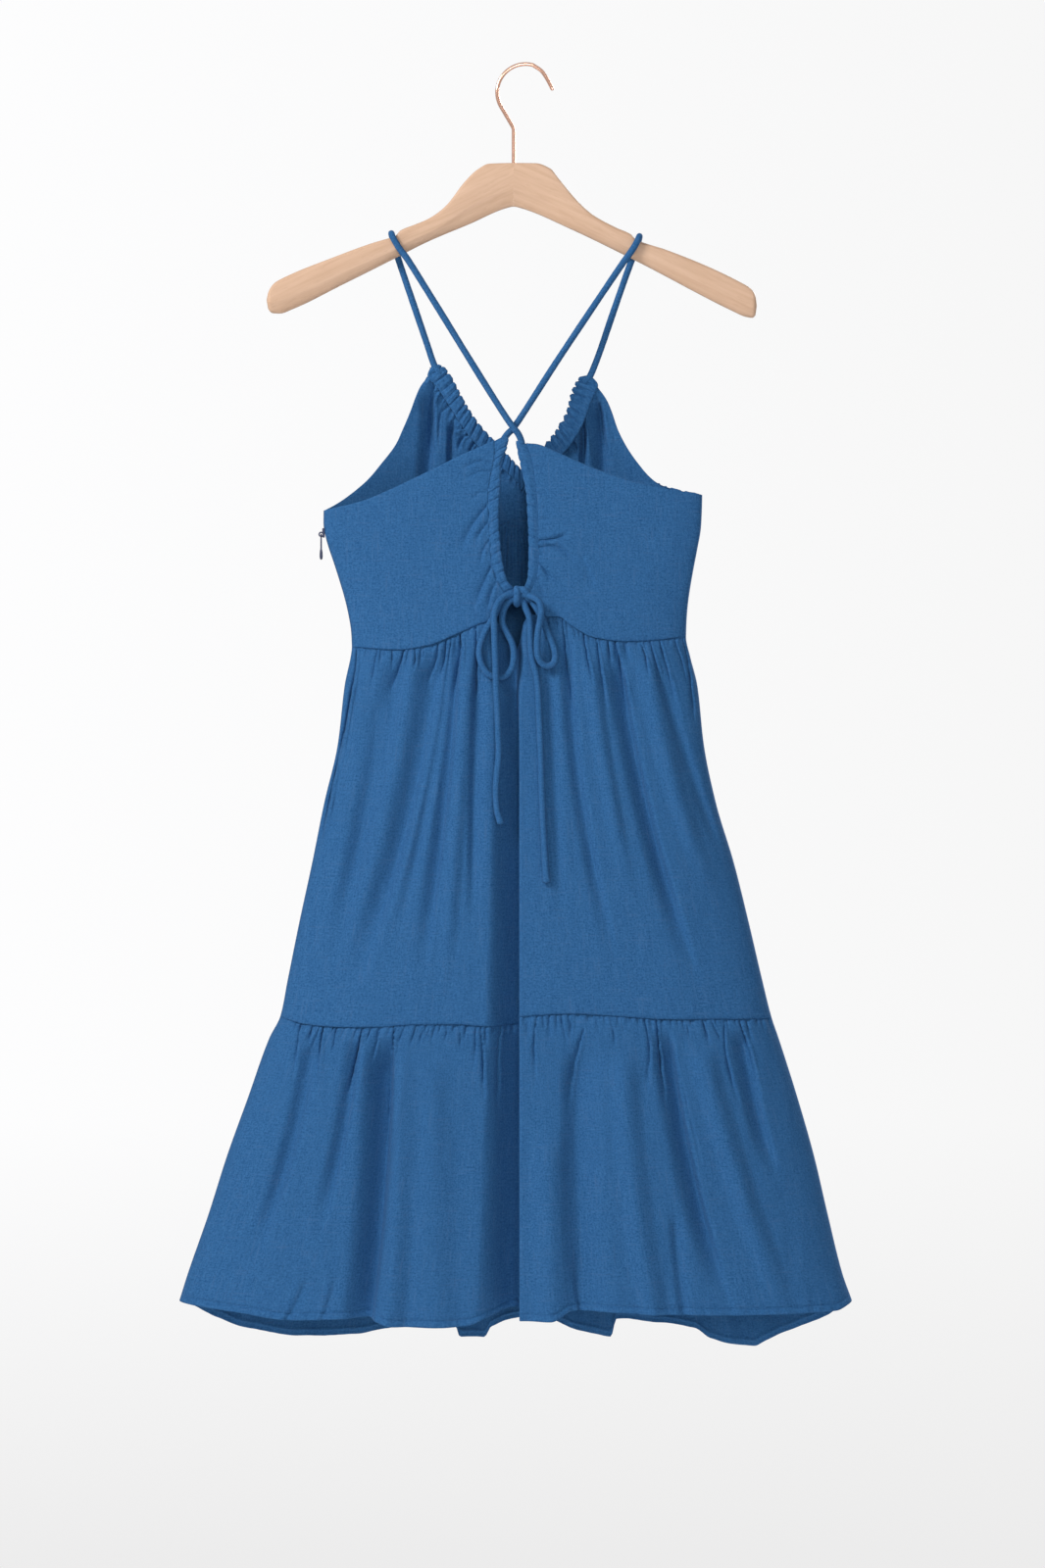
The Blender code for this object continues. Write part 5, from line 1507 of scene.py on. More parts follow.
@dataclass
class Bodice:
    """Back panels, front cups and the four gathered channels."""

    keyhole_left: float = -20.9
    keyhole_right: float = 26.6
    channel_end: float = 0.8
    centre_left: float = MIDDLE + 1.4
    centre_right: float = MIDDLE + 0.6

    def keyhole_edge(self, stitched: Rows, x: float) -> Corner:
        """A back panel's inner edge: down its channel's stitching, then on to the waist seam."""
        end = (x, float(Table(WAIST_BACK).at(x)) - SEAM_LIFT)
        return Corner(Route(stitched), Route((stitched[-1], end)), self.channel_end)

    def centre_edge(self, x: float) -> Route:
        """A cup's inner edge, straight down from the neck to the front's waist seam."""
        end = (x, float(Table(WAIST_FRONT).at(x)) - SEAM_LIFT)
        return Route(((x, NECK_STITCH_LEFT[-1][1]), end))

    def panels(self) -> list[BodicePanel]:
        """The four panels, each between its edges."""
        low_left = WAIST_BACK[0][1] - SEAM_LIFT
        low_right = WAIST_BACK[-1][1] - SEAM_LIFT
        neck_drop = NECK_STITCH_LEFT[-1][1]
        neck_left = Route((ARMHOLE_LEFT[0], *NECK_STITCH_LEFT[1:-1],
                           (self.centre_left, neck_drop)))
        neck_right = Route(((self.centre_right, neck_drop), *NECK_STITCH_RIGHT[-2:0:-1],
                            ARMHOLE_RIGHT[0]))
        neck = (Edge.TOP, Gathers(22, 31, 2.4, 6.0, 34.0, 1.2, 13.0, 0.5))
        arch_seam = (Edge.LOW, Gathers(20, 33, 1.1, 8.0, 50.0, 1.2, 20.0, 0.6))
        keyhole = Gathers(19, 35, 0.9, 3.5, 15.0, 1.0, 12.0, 0.3)
        centre = Gathers(10, 37, 1.0, 4.0, 16.0, 1.0, 12.0, 0.3)
        return [
            BodicePanel(
                "cloth_back_left", Side.BACK, Route(BACK_TOP_LEFT),
                seam_edge(WAIST_BACK, WAIST_BACK[0][0], self.keyhole_left),
                side_edge(FORM.left, BACK_TOP_LEFT[0][1], low_left),
                self.keyhole_edge(BACK_STITCH_LEFT, self.keyhole_left), 116, 120,
                (0.17, 0.19), 0.023, creases=BACK_LEFT_CREASES,
                gathers=((Edge.RIGHT, keyhole),)),
            BodicePanel(
                "cloth_back_right", Side.BACK, Route(BACK_TOP_RIGHT),
                seam_edge(WAIST_BACK, self.keyhole_right, WAIST_BACK[-1][0]),
                self.keyhole_edge(BACK_STITCH_RIGHT, self.keyhole_right),
                side_edge(FORM.right, BACK_TOP_RIGHT[-1][1], low_right), 116, 120,
                (0.17, 0.19), 0.022, creases=BACK_RIGHT_CREASES,
                gathers=((Edge.LEFT, keyhole),)),
            BodicePanel(
                "cloth_cup_left", Side.FRONT, neck_left,
                seam_edge(WAIST_FRONT, WAIST_FRONT[0][0], self.centre_left),
                Corner(Route(ARMHOLE_LEFT), side_edge(FORM.left, ARMHOLE_LEFT[-1][1], low_left)),
                self.centre_edge(self.centre_left), 150, 110, (0.19, 0.25), 0.027,
                folds=CUP_LEFT_FOLDS, creases=CUP_LEFT_CREASES,
                gathers=(neck, arch_seam, (Edge.RIGHT, centre))),
            BodicePanel(
                "cloth_cup_right", Side.FRONT, neck_right,
                seam_edge(WAIST_FRONT, self.centre_right, WAIST_FRONT[-1][0]),
                self.centre_edge(self.centre_right),
                Corner(Route(ARMHOLE_RIGHT),
                       side_edge(FORM.right, ARMHOLE_RIGHT[-1][1], low_right)),
                150, 110, (0.19, 0.25), 0.026, folds=CUP_RIGHT_FOLDS, creases=CUP_RIGHT_CREASES,
                gathers=(neck, arch_seam, (Edge.LEFT, centre))),
        ]

    def channels(self) -> list[Channel]:
        """The four gathered channels."""
        return [
            Channel("channel_back_left", BACK_STITCH_LEFT, BACK_OPEN_LEFT, 15, Side.BACK, 3),
            Channel("channel_back_right", BACK_STITCH_RIGHT, BACK_OPEN_RIGHT, 14, Side.BACK, 5),
            Channel("channel_neck_left", NECK_STITCH_LEFT, NECK_OPEN_LEFT, 17, Side.FRONT, 7,
                    first_overlap=2.6, round_end=7.5, pucker=2.2),
            Channel("channel_neck_right", NECK_STITCH_RIGHT, NECK_OPEN_RIGHT, 16, Side.FRONT, 9,
                    overlap=4.4, first_overlap=0.6, round_end=7.5, pucker=2.3, turn=-0.2,
                    crisp=0.55),
        ]


@dataclass
class SewnCord:
    """A round cord, turned from a strip of the dress's cloth, on a smooth route."""

    name: str
    points: Rows
    seed: int
    diameter: float = CORD
    around: int = 18
    step: float = 1.1
    end_width: float = 1.0
    end_reach: tuple[float, float] = (2.0, 9.0)
    end_round: float = 0.6
    girth: float = 0.99
    seam_proud: float = 0.025
    seam_width: float = 0.3
    path_step: float = 2.5

    def route(self) -> Route:
        """The cord's centre line."""
        return Route(self.points)

    def centre_line(self) -> np.ndarray:
        """The cord's centre line as points in the part's frame."""
        route = self.route()
        return place(route.at(np.linspace(0.0, 1.0, int(route.length / self.path_step) + 2)))

    def build(self, material: bpy.types.Material) -> bpy.types.Object:
        """Make the cord, with closed round ends, a seam along it and small wrinkles.

        Args:
            material: the cloth.

        Returns:
            The cord.
        """
        route = self.route()
        count = int(route.length / self.step) + 2
        share = np.linspace(0.0, 1.0, count)
        line = place(route.at(share))
        ahead = np.gradient(line, axis=0)
        ahead /= np.linalg.norm(ahead, axis=1, keepdims=True)
        sideways = [np.cross(ahead[0], (0.0, 1.0, 0.0))]
        for direction in ahead[1:]:
            carried = sideways[-1] - direction * np.dot(sideways[-1], direction)
            sideways.append(carried / np.linalg.norm(carried))
        sideways = np.array(sideways)
        sideways /= np.linalg.norm(sideways, axis=1, keepdims=True)
        outward = np.cross(ahead, sideways)
        angle = np.linspace(0.0, 2.0 * math.pi, self.around, endpoint=False)[None, :]
        travelled = (share * route.length)[:, None]
        chance = np.random.default_rng(self.seed)
        twist = 0.9 * np.sin(travelled / 37.0 + chance.uniform(0.0, 6.0))
        from_seam = np.mod(angle - twist + math.pi, 2.0 * math.pi) - math.pi
        seam = np.exp(-(from_seam / self.seam_width) ** 2)
        wrinkle = (0.012 * np.sin(travelled / 1.3 + 2.0 * np.sin(travelled / 5.1) + angle)
                   + 0.018 * np.sin(travelled / 9.7 + 2.0 * angle + 1.3))
        half = 0.5 * self.diameter
        from_end = np.minimum(travelled, route.length - travelled)
        closing = 1.0 - np.clip(from_end / (self.end_round * half), 0.0, 1.0)
        cap = np.sqrt(np.clip(1.0 - closing ** 2, 0.02, 1.0))
        radius = half * (self.girth + self.seam_proud * seam + wrinkle) * cap * MM
        tip = 1.0 - ease(*self.end_reach, route.length - travelled)
        wide = 1.0 + (self.end_width - 1.0) * tip
        flat = 1.0 - 0.5 * (self.end_width - 1.0) * tip
        rings = (line[:, None]
                 + sideways[:, None] * (radius * wide * np.cos(angle))[..., None]
                 + outward[:, None] * (radius * flat * np.sin(angle))[..., None])
        around_map = np.linspace(0.0, math.pi * self.diameter * MM, self.around + 1)
        weave = np.stack(np.broadcast_arrays(around_map[None, :], travelled * MM), axis=-1)
        obj = grid_object(self.name, rings, weave, closed=True, caps=True)
        point_out(obj)
        wear(obj, material)
        return obj


@dataclass
class Straps:
    """The two straps, from each cup's peak over the hanger and crossed at the back."""

    left: Rows = (
        (-65.5, 10.2, 279), (-68.4, 9.6, 275.2), (-72.4, 9.6, 269.4), (-79, 9.9, 250),
        (-90.5, 9.9, 216), (-102, 9.8, 182), (-106.6, 9.6, 168), (-108.9, 9.7, 160),
        (-109.8, 9.2, 156.6), (-110.3, 7.2, 153.6), (-110.6, 3.2, 152.4), (-110.6, -3.2, 152.4),
        (-110.2, -7.2, 153.6), (-109.2, -9.2, 156.6), (-107.4, -9.7, 160), (-102.4, -9.7, 168),
        (-94, -9.9, 179.5), (-70, -10.8, 218), (-40, -12.4, 267), (-12, -14.8, 312),
        (-0.9, -15.9, 328.6), (3.8, -15, 334.4), (6.4, -13.6, 339.6), (7.8, -12.8, 345),
    )
    right: Rows = (
        (63, 11, 287), (65.6, 10.6, 283.8), (69.8, 10.4, 279), (78, 10.1, 258.5), (91.5, 9.9, 219),
        (102.5, 9.8, 187.5), (108.4, 9.6, 171.5), (111.6, 9.7, 163.2), (112.9, 9.3, 159.2),
        (113.6, 7.2, 156.3), (113.9, 3.2, 155), (113.9, -3.2, 155), (113.4, -7.2, 156.3),
        (112.2, -9.3, 159.2), (110.2, -9.7, 163.2), (105.6, -9.6, 170.5), (97, -9.6, 182.5),
        (72, -9.6, 219.5), (40, -9.5, 267.5), (12, -9.3, 311), (0.3, -9.2, 328.4),
        (-4.6, -10, 333.6), (-8.2, -11.6, 338.2), (-10.4, -12.2, 343),
    )

    def build(self, material: bpy.types.Material) -> None:
        """Make both straps and put them in their nodes' places."""
        for name, points, node, seed in (("cord_strap_left", self.left, "strap_left", 11),
                                         ("cord_strap_right", self.right, "strap_right", 12)):
            strap = SewnCord(name, points, seed).build(material)
            hand_over(strap, "cord", node)


@dataclass
class Bow:
    """The keyhole's drawcord, tied in a bow with two loops and two tails."""

    seat: tuple[float, float, float] = (0.0, 2.6, -2.0)
    knot_centre: tuple[float, float, float] = (4.6, -25.4, 484.4)
    knot_size: tuple[float, float, float] = (10.6, 8.4, 11.4)
    knot_voxel: float = 0.34
    knot_smoothing: int = 4
    wrap_seed: int = 60
    wrap_diameter: float = 7.0
    wrap_taper: float = 0.4
    wrap_step: float = 0.6
    loop_left: Rows = (
        (5.4, -26.4, 486.4), (-0.4, -27.8, 486.6), (-4.4, -28.8, 489.2), (-7.8, -30, 494.2),
        (-9.8, -30.6, 500.6), (-9.8, -30.8, 508.7), (-5.8, -30.8, 517.5), (-1.8, -31, 525.5),
        (0.2, -31.4, 535.3), (-0.9, -32, 546), (-4.4, -32.6, 552.6), (-10, -33.2, 556.8),
        (-20.8, -33.4, 555.2), (-27.5, -33, 547.7), (-30.6, -32.4, 538), (-30.2, -31.8, 528),
        (-26.6, -31, 518.4), (-22.4, -30.2, 510.4), (-17.6, -28.8, 502.4), (-13.4, -27.2, 495),
        (-8.5, -25.2, 487.6), (-3.1, -24.2, 484), (4, -24, 482.6),
    )
    loop_right: Rows = (
        (4.8, -27.4, 483.6), (10.6, -29.2, 482.9), (17, -32.6, 485), (22.7, -35.2, 489.4),
        (24.9, -36.4, 498), (23.6, -37, 506.5), (21.6, -37.4, 517.6), (21, -37.4, 529),
        (21.6, -36.8, 537.6), (24.7, -35, 543.8), (30.2, -33.4, 546.8), (35.5, -32.6, 544.6),
        (37.3, -32, 538), (35.6, -31.4, 529), (32, -30.8, 520.2), (28.8, -30, 512.2),
        (26, -29, 504.8), (21.6, -27.6, 496.4), (17, -25.6, 489.6), (12.3, -24.4, 485.6),
        (5, -24.2, 484),
    )
    tail_left: Rows = (
        (4.6, -27.4, 483.8), (-0.4, -28.8, 482.2), (-8.3, -32.4, 484.6), (-14, -35.6, 490.4),
        (-17.4, -37.2, 500), (-17.4, -37.8, 512), (-16.9, -38.8, 526), (-16.2, -40, 545),
        (-15.8, -40.4, 560), (-14.8, -39.8, 581.5), (-13.8, -39.4, 605), (-13.3, -40, 626.8),
        (-15, -41.4, 645), (-15.8, -42.4, 662), (-14.6, -43.4, 677), (-10.7, -44.2, 688.9),
    )
    tail_right: Rows = (
        (4.2, -26.2, 485.8), (8.4, -27.4, 489), (11.6, -28.6, 496.4), (14.2, -29.6, 504),
        (15, -30.2, 515), (15.4, -31.2, 531), (17, -32, 543), (20, -33, 554), (21.8, -34.2, 568),
        (22.8, -36.2, 590), (24.3, -39, 626.8), (25.2, -41.6, 659.7), (26.6, -44.2, 690.7),
        (27.8, -45.8, 716), (29.3, -47.2, 741.3),
    )
    wraps: tuple[Rows, ...] = (
        ((1.4, -24.4, 480.4), (4.8, -27.6, 478.4), (8.6, -29.6, 478.8), (11.8, -30, 481.4),
         (13.2, -28, 485), (12.8, -24.4, 487.6)),
        ((2.6, -22, 478.8), (2.9, -27.4, 477.4), (3.1, -30.6, 479.4), (3.1, -31.6, 483.6),
         (2.9, -31, 488), (3, -28.2, 490.4), (3.2, -24, 490.6)),
    )

    def seated(self, points: Rows) -> Rows:
        """Points stepped to where the channels let the cord out."""
        return tuple(tuple(value + step for value, step in zip(point, self.seat))
                     for point in points)

    def knot(self, material: bpy.types.Material) -> bpy.types.Object:
        """The knot: a core with the cord wrapped round it, grown together.

        Args:
            material: the cloth.

        Returns:
            The knot.
        """
        centre = place(np.array(self.seated((self.knot_centre,))[0]))
        parts = [ball("core", self.knot_size, 32, 20, centre)]
        for index, wrap in enumerate(self.wraps):
            cord = SewnCord(f"wrap_{index}", self.seated(wrap), self.wrap_seed + index,
                            self.wrap_diameter - self.wrap_taper * index, step=self.wrap_step)
            parts.append(cord.build(material))
        knot = join_objects("cord_bow_knot", parts)
        remesh = knot.modifiers.new("grown together", "REMESH")
        remesh.mode = "VOXEL"
        remesh.voxel_size = self.knot_voxel * MM
        soft = knot.modifiers.new("soft", "SMOOTH")
        soft.factor = 0.5
        soft.iterations = self.knot_smoothing
        finish_mesh(knot)
        knot.data.shade_smooth()
        wear(knot, material)
        return knot

    def build(self, cloth: bpy.types.Material, knot_cloth: bpy.types.Material) -> None:
        """Make the bow: its knot, loops and tails.

        Args:
            cloth: the material of the cords.
            knot_cloth: the material of the knot.
        """
        knot = self.knot(knot_cloth)
        hand_over(knot, "cord", "bow_knot")
        for name, points, node, seed, far_end, wide in (
                ("cord_loop_left", self.loop_left, "bow_loop_left", 21, "object", 1.0),
                ("cord_loop_right", self.loop_right, "bow_loop_right", 22, "object", 1.0),
                ("cord_tail_left", self.tail_left, "bow_tail_left", 23, "bare", 1.25),
                ("cord_tail_right", self.tail_right, "bow_tail_right", 24, "bare", 1.25)):
            cord = SewnCord(name, self.seated(points), seed, end_width=wide)
            piece = cord.build(cloth)
            hand_over(piece, "cord", node)
            line = cord.centre_line()


def hand_over(piece: bpy.types.Object, slot: str, *nodes: str, body: str = BODY) -> None:
    """Let a finished piece ride on its body and stand for its nodes.

    Args:
        piece: the piece.
        slot: not used.
        *nodes: the nodes that it replaces.
        body: the body that it rides on.
    """
    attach(piece, body)
    if nodes:
        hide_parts(*nodes)
    mesh = piece.data
    mesh.calc_loop_triangles()
    LOG.info("%s: %d triangles", piece.name, len(mesh.loop_triangles))


def wire(name: str, points: np.ndarray, diameter: float, tip: float = 1.0) -> bpy.types.Object:
    """A bent round wire with closed ends.

    Args:
        name: the piece's name.
        points: table points along its centre line.
        diameter: its diameter in millimetres.
        tip: the first point's share of the diameter.

    Returns:
        The wire.
    """
    curve = poly_curve(name, [place(points)])
    curve.bevel_depth = 0.5 * diameter * MM
    curve.bevel_resolution = 6
    curve.use_fill_caps = True
    curve.splines[0].points[0].radius = tip
    obj = add_object(name, curve)
    mesh = evaluated_mesh(obj)
    bpy.data.objects.remove(obj)
    bm = bmesh.new()
    bm.from_mesh(mesh)
    bmesh.ops.remove_doubles(bm, verts=bm.verts, dist=0.00001)
    bmesh.ops.recalc_face_normals(bm, faces=bm.faces)
    bm.to_mesh(mesh)
    bm.free()
    mesh.shade_smooth()
    mesh.set_sharp_from_angle(angle=math.radians(50.0))
    return add_object(name, mesh)


@dataclass
class Hanger:
    """The wooden hanger, cut from one outline and mitred at the stem, and its wire hook."""

    thick: float = 12.0
    edge_round: float = 3.2
    mitre_gap: float = 0.04
    bevel_share: float = 0.33
    bevel_in: float = 3.3
    bevel_rows: Rows = (
        (0, 0, 1, 0.35), (0, 0.12, 1, 0), (0.5, 0, 0.45, 0), (1, 0, 0.08, 0.4), (1, 1, 0, 0.15),
        (1, 2.4, 0, 0),
    )
    tip_length: float = 12.0
    tip_round: float = 4.0
    least_tall: float = 1.2
    sharp_angle: float = math.radians(38.0)
    arm_slope: float = math.radians(24.0)
    hook_inside: float = 24.0
    hook_wire: float = 3.5
    hook_tip: Rows = ((35.6, 21.8), (32.8, 16.3), (29.5, 10.4), (25, 4.3))
    hook_tip_share: float = 0.78
    hook_first_angle: float = 75.0
    hook_last_angle: float = 212.0
    hook_bend_drop: float = 56.5
    stem_drop: float = 109.0
    upper: Rows = (
        (-223.6, 211.5), (-222, 205), (-217, 197.6), (-209.7, 193), (-163.4, 173.9), (-127, 160.6),
        (-116, 157.4), (-107, 154.6), (-102.8, 149.7), (-90, 144.4), (-78.1, 139.4), (-68, 133),
        (-59.9, 125.7), (-44.6, 105.8), (-33, 94.5), (-22, 89), (0, 88.4), (20, 88.6), (33.4, 93.6),
        (41, 102.7), (54.8, 119.5), (64, 129), (73.2, 136.4), (93.1, 147.1), (106.5, 153.2),
        (110, 157.3), (118, 160.7), (124, 162.6), (137.4, 166.8), (209.2, 198.5), (215.5, 203),
        (219.3, 209.5), (220.2, 216.5),
    )
    lower: Rows = (
        (-223.6, 214), (-222.6, 220), (-218.4, 224), (-212, 224.3), (-200.7, 220.5),
        (-154.5, 197.8), (-111.9, 176.5), (-78.1, 159.3), (-39.1, 142.8), (-8, 129.2), (0, 127.4),
        (8, 129.2), (50.3, 147.1), (113, 177.7), (200.1, 222.9), (210, 227.2), (216.4, 228.2),
        (219.8, 224.5), (220.2, 218.6),
    )

    def section(self, top: float, low: float) -> np.ndarray:
        """A cut across the arm: y and drop round it, rounded above and bevelled below.

        Args:
            top: drop of the arm's upper edge.
            low: drop of its lower edge.

        Returns:
            Points round the section.
        """
        half = 0.5 * self.thick
        tall = low - top
        round_off = min(self.edge_round, 0.45 * tall)
        bevel = self.bevel_share * tall
        corner = np.radians(np.linspace(0.0, 90.0, 7))
        upper_y = half - round_off + round_off * np.sin(corner)
        upper_drop = top + round_off - round_off * np.cos(corner)
        share_in, more_in, share_up, more_up = np.array(self.bevel_rows, float).T
        y = np.concatenate([upper_y, half - share_in * self.bevel_in - more_in])
        drop = np.concatenate([upper_drop, low - share_up * bevel - more_up])
        return np.concatenate([np.stack([y, drop], axis=-1),
                               np.stack([-y[::-1], drop[::-1]], axis=-1)])

    def arm(self, name: str, sign: float) -> bpy.types.Object:
        """One arm, from the mitre to its round tip.

        Args:
            name: the piece's name.
            sign: -1 for the left arm and 1 for the right.

        Returns:
            The arm.
        """
        upper, lower = Table(self.upper), Table(self.lower)
        reach = abs(self.upper[0][0]) if sign < 0.0 else self.upper[-1][0]
        even = np.linspace(0.5 * self.mitre_gap, reach - self.tip_length, 118)
        tip = reach - self.tip_length * np.cos(np.linspace(0.0, 0.5 * math.pi, 16))[1:]
        places = sign * np.concatenate([even, tip])
        rings = []
        for x in places:
            top, low = float(upper.at(x)), float(lower.at(x))
            if low - top < self.least_tall:
                middle = 0.5 * (low + top)
                top, low = middle - 0.5 * self.least_tall, middle + 0.5 * self.least_tall
            closing = np.clip((reach - abs(x)) / self.tip_round, 0.0, 1.0)
            narrow = 0.35 + 0.65 * math.sqrt(1.0 - (1.0 - closing) ** 2)
            ring = self.section(top, low)
            ring[:, 0] *= narrow
            rings.append(np.stack([np.full(len(ring), x), ring[:, 0], ring[:, 1]], axis=-1))
        points = place(np.array(rings))
        weave = np.stack([points[..., 0], points[..., 2]], axis=-1)
        weave = np.concatenate([weave, weave[:, :1]], axis=1)
        obj = grid_object(name, points, weave, closed=True, caps=True)
        point_out(obj)
        obj.data.set_sharp_from_angle(angle=self.sharp_angle)
        return obj

    def hook_points(self) -> np.ndarray:
        """The hook wire's centre line, from its tip down into the wood."""
        radius = self.hook_inside + 0.5 * self.hook_wire
        angle = np.radians(np.linspace(self.hook_first_angle, self.hook_last_angle, 60))
        ring = np.stack([STEM_SIDE + radius * np.cos(angle), np.zeros_like(angle),
                         self.hook_inside - radius * np.sin(angle)], axis=-1)
        share = np.linspace(0.0, 1.0, 14)[1:, None]
        end = Route((*self.hook_tip, (ring[0, 0], ring[0, 2]))).at(np.linspace(0.0, 0.96, 22))
        ring = np.concatenate([np.insert(end, 1, 0.0, axis=1), ring])
        bend = np.array([[0.0, 0.0, self.hook_bend_drop]])
        leg = ring[-1:] + (bend - ring[-1:]) * share
        stem = np.array([[0.0, 0.0, drop] for drop in
                         np.linspace(self.hook_bend_drop + 1.2, self.stem_drop, 12)])
        return np.concatenate([ring, leg[:-1], stem])

    def build(self, groups: Groups) -> None:
        """Make the hanger and dress it.

        Args:
            groups: the shared node groups.
        """
        for name, sign, node in (("wood_arm_left", -1.0, "hanger_arm_left"),
                                 ("wood_arm_right", 1.0, "hanger_arm_right")):
            arm = self.arm(name, sign)
            wear(arm, BeechFinish(f"beech_{name}", -sign * self.arm_slope).material(groups))
            hand_over(arm, "wood", node)
        hook = wire("wire_hook", self.hook_points(), self.hook_wire, self.hook_tip_share)
        wear(hook, MetalFinish("rose_gold", (0.92, 0.54, 0.40), 1.0, 0.1, 0.12)
             .material(groups))
        hand_over(hook, "hook", "hanger_hook")


@dataclass
class Stitching:
    """Machine stitches along the hems and the channels, set along their lines."""

    length: float = 2.1
    spacing: float = 2.7
    thread: float = 0.42

    def stitch_mesh(self) -> bpy.types.Object:
        """One stitch: a small capsule that lies along Z."""
        return ball("one_stitch", (self.thread, self.thread, self.length), 6, 6)

    def tree(self, material: bpy.types.Material) -> bpy.types.NodeTree:
        """The nodes that set stitches along curves.

        Args:
            material: the thread.

        Returns:
            The node tree, with inputs for the stitch and its spacing.
        """
        tree = bpy.data.node_groups.new("stitch_run", "GeometryNodeTree")
        for label, way, kind in (("Geometry", "INPUT", "Geometry"), ("Stitch", "INPUT", "Object"),
                                 ("Spacing", "INPUT", "Float"), ("Geometry", "OUTPUT", "Geometry")):
            tree.interface.new_socket(label, in_out=way, socket_type="NodeSocket" + kind)
        board = Board(tree)
        start, end = board.add("NodeGroupInput"), board.add("NodeGroupOutput")
        spots = board.add("GeometryNodeCurveToPoints", {
            "Curve": start.outputs["Geometry"], "Length": start.outputs["Spacing"]},
            mode="LENGTH")
        stitch = board.add("GeometryNodeObjectInfo", {"Object": start.outputs["Stitch"]})
        copies = board.add("GeometryNodeInstanceOnPoints", {
            "Points": spots.outputs["Points"], "Instance": stitch.outputs["Geometry"],
            "Rotation": spots.outputs["Rotation"]})
        real = board.add("GeometryNodeRealizeInstances", {"Geometry": copies.outputs[0]})
        dressed = board.add("GeometryNodeSetMaterial", {
            "Geometry": real.outputs[0], "Material": material})
        tree.links.new(dressed.outputs[0], end.inputs[0])
        return tree

    def build(self, name: str, lines: list[np.ndarray],
              material: bpy.types.Material) -> bpy.types.Object:
        """Sew stitches along lines.

        Args:
            name: the piece's name.
            lines: points in metres along each line.
            material: the thread.

        Returns:
            The stitches as one piece.
        """
        obj = add_object(name, poly_curve(name, lines))
        stitch = self.stitch_mesh()
        nodes = obj.modifiers.new("stitches", "NODES")
        nodes.node_group = self.tree(material)
        for item in nodes.node_group.interface.items_tree:
            if item.name == "Stitch":
                nodes[item.identifier] = stitch
            elif item.name == "Spacing":
                nodes[item.identifier] = self.spacing * MM
        mesh = evaluated_mesh(obj)
        for old in (obj, stitch):
            bpy.data.objects.remove(old)
        mesh.name = name
        mesh.shade_smooth()
        piece = add_object(name, mesh)
        wear(piece, material)
        return piece


@dataclass
class Dress:
    """The whole garment: skirt tiers, bodice, channels, straps, bow and stitching."""

    groups: Groups

    def tiers(self) -> list[tuple[SkirtTier, str]]:
        """The four skirt panels and the nodes that they stand for."""
        return [
            (SkirtTier("cloth_skirt_back", Side.BACK, WAIST_BACK, TIER_BACK, SKIRT_BACK_FOLDS,
                       Gathers(44, 1, 2.4, 6.0, 40.0, 1.15, 19.0, 2.4), 390, 6.0, (0.50, 0.36),
                       creases=WAIST_BACK_GATHERS), "skirt_back"),
            (SkirtTier("cloth_skirt_front", Side.FRONT, WAIST_FRONT, TIER_FRONT,
                       SKIRT_FRONT_FOLDS, Gathers(34, 2, 2.6, 8.0, 80.0, 1.6, 22.0, 2.0), 330,
                       7.0, (0.50, 0.43), creases=WAIST_FRONT_GATHERS), "skirt_front"),
            (SkirtTier("cloth_flounce_back", Side.BACK, TIER_BACK, HEM_BACK,
                       FLOUNCE_BACK_FOLDS, Gathers(78, 3, 2.8, 6.0, 34.0, 1.15, 20.0, 2.1), 460,
                       6.0, (0.72, 0.28), hemmed=True, creases=TIER_BACK_GATHERS),
             "flounce_back"),
            (SkirtTier("cloth_flounce_front", Side.FRONT, TIER_FRONT, HEM_FRONT,
                       FLOUNCE_FRONT_FOLDS, Gathers(52, 4, 2.4, 8.0, 66.0, 1.5, 20.0, 1.8), 400,
                       7.0, (0.72, 0.30), hemmed=True), "flounce_front"),
        ]

    def build(self) -> None:
        cloth = ClothFinish("blue_slub_cloth").material(self.groups)
        cord_cloth = ClothFinish("blue_cord_cloth", threads=1500.0).material(self.groups)
        knot_cloth = ClothFinish("blue_knot_cloth", Coordinates.OBJECT).material(self.groups)
        thread = ClothFinish("blue_thread", Coordinates.OBJECT, deep=(0.030, 0.100, 0.230),
                             pale=(0.050, 0.150, 0.320), threads=3000.0).material(self.groups)
        hem_lines: list[np.ndarray] = []
        for tier, node in self.tiers():
            piece, lines = tier.build(cloth)
            hand_over(piece, "cloth", node)
            hem_lines += lines
        bodice = Bodice()
        nodes = ("back_bodice_left", "back_bodice_right", "front_cup_left", "front_cup_right")
        for panel, node in zip(bodice.panels(), nodes):
            piece = panel.build(cloth)
            hand_over(piece, "cloth", node)
        channel_lines: list[np.ndarray] = []
        nodes = ("back_casing_left", "back_casing_right", "front_casing_left",
                 "front_casing_right")
        for channel, node in zip(bodice.channels(), nodes):
            piece, line = channel.build(cloth)
            hand_over(piece, "cloth", node)
            channel_lines.append(line)
        Straps().build(cord_cloth)
        Bow().build(cord_cloth, knot_cloth)
        sewing = Stitching()
        for name, lines in (("stitches_hem", hem_lines), ("stitches_channels", channel_lines)):
            hand_over(sewing.build(name, lines, thread), "cloth")


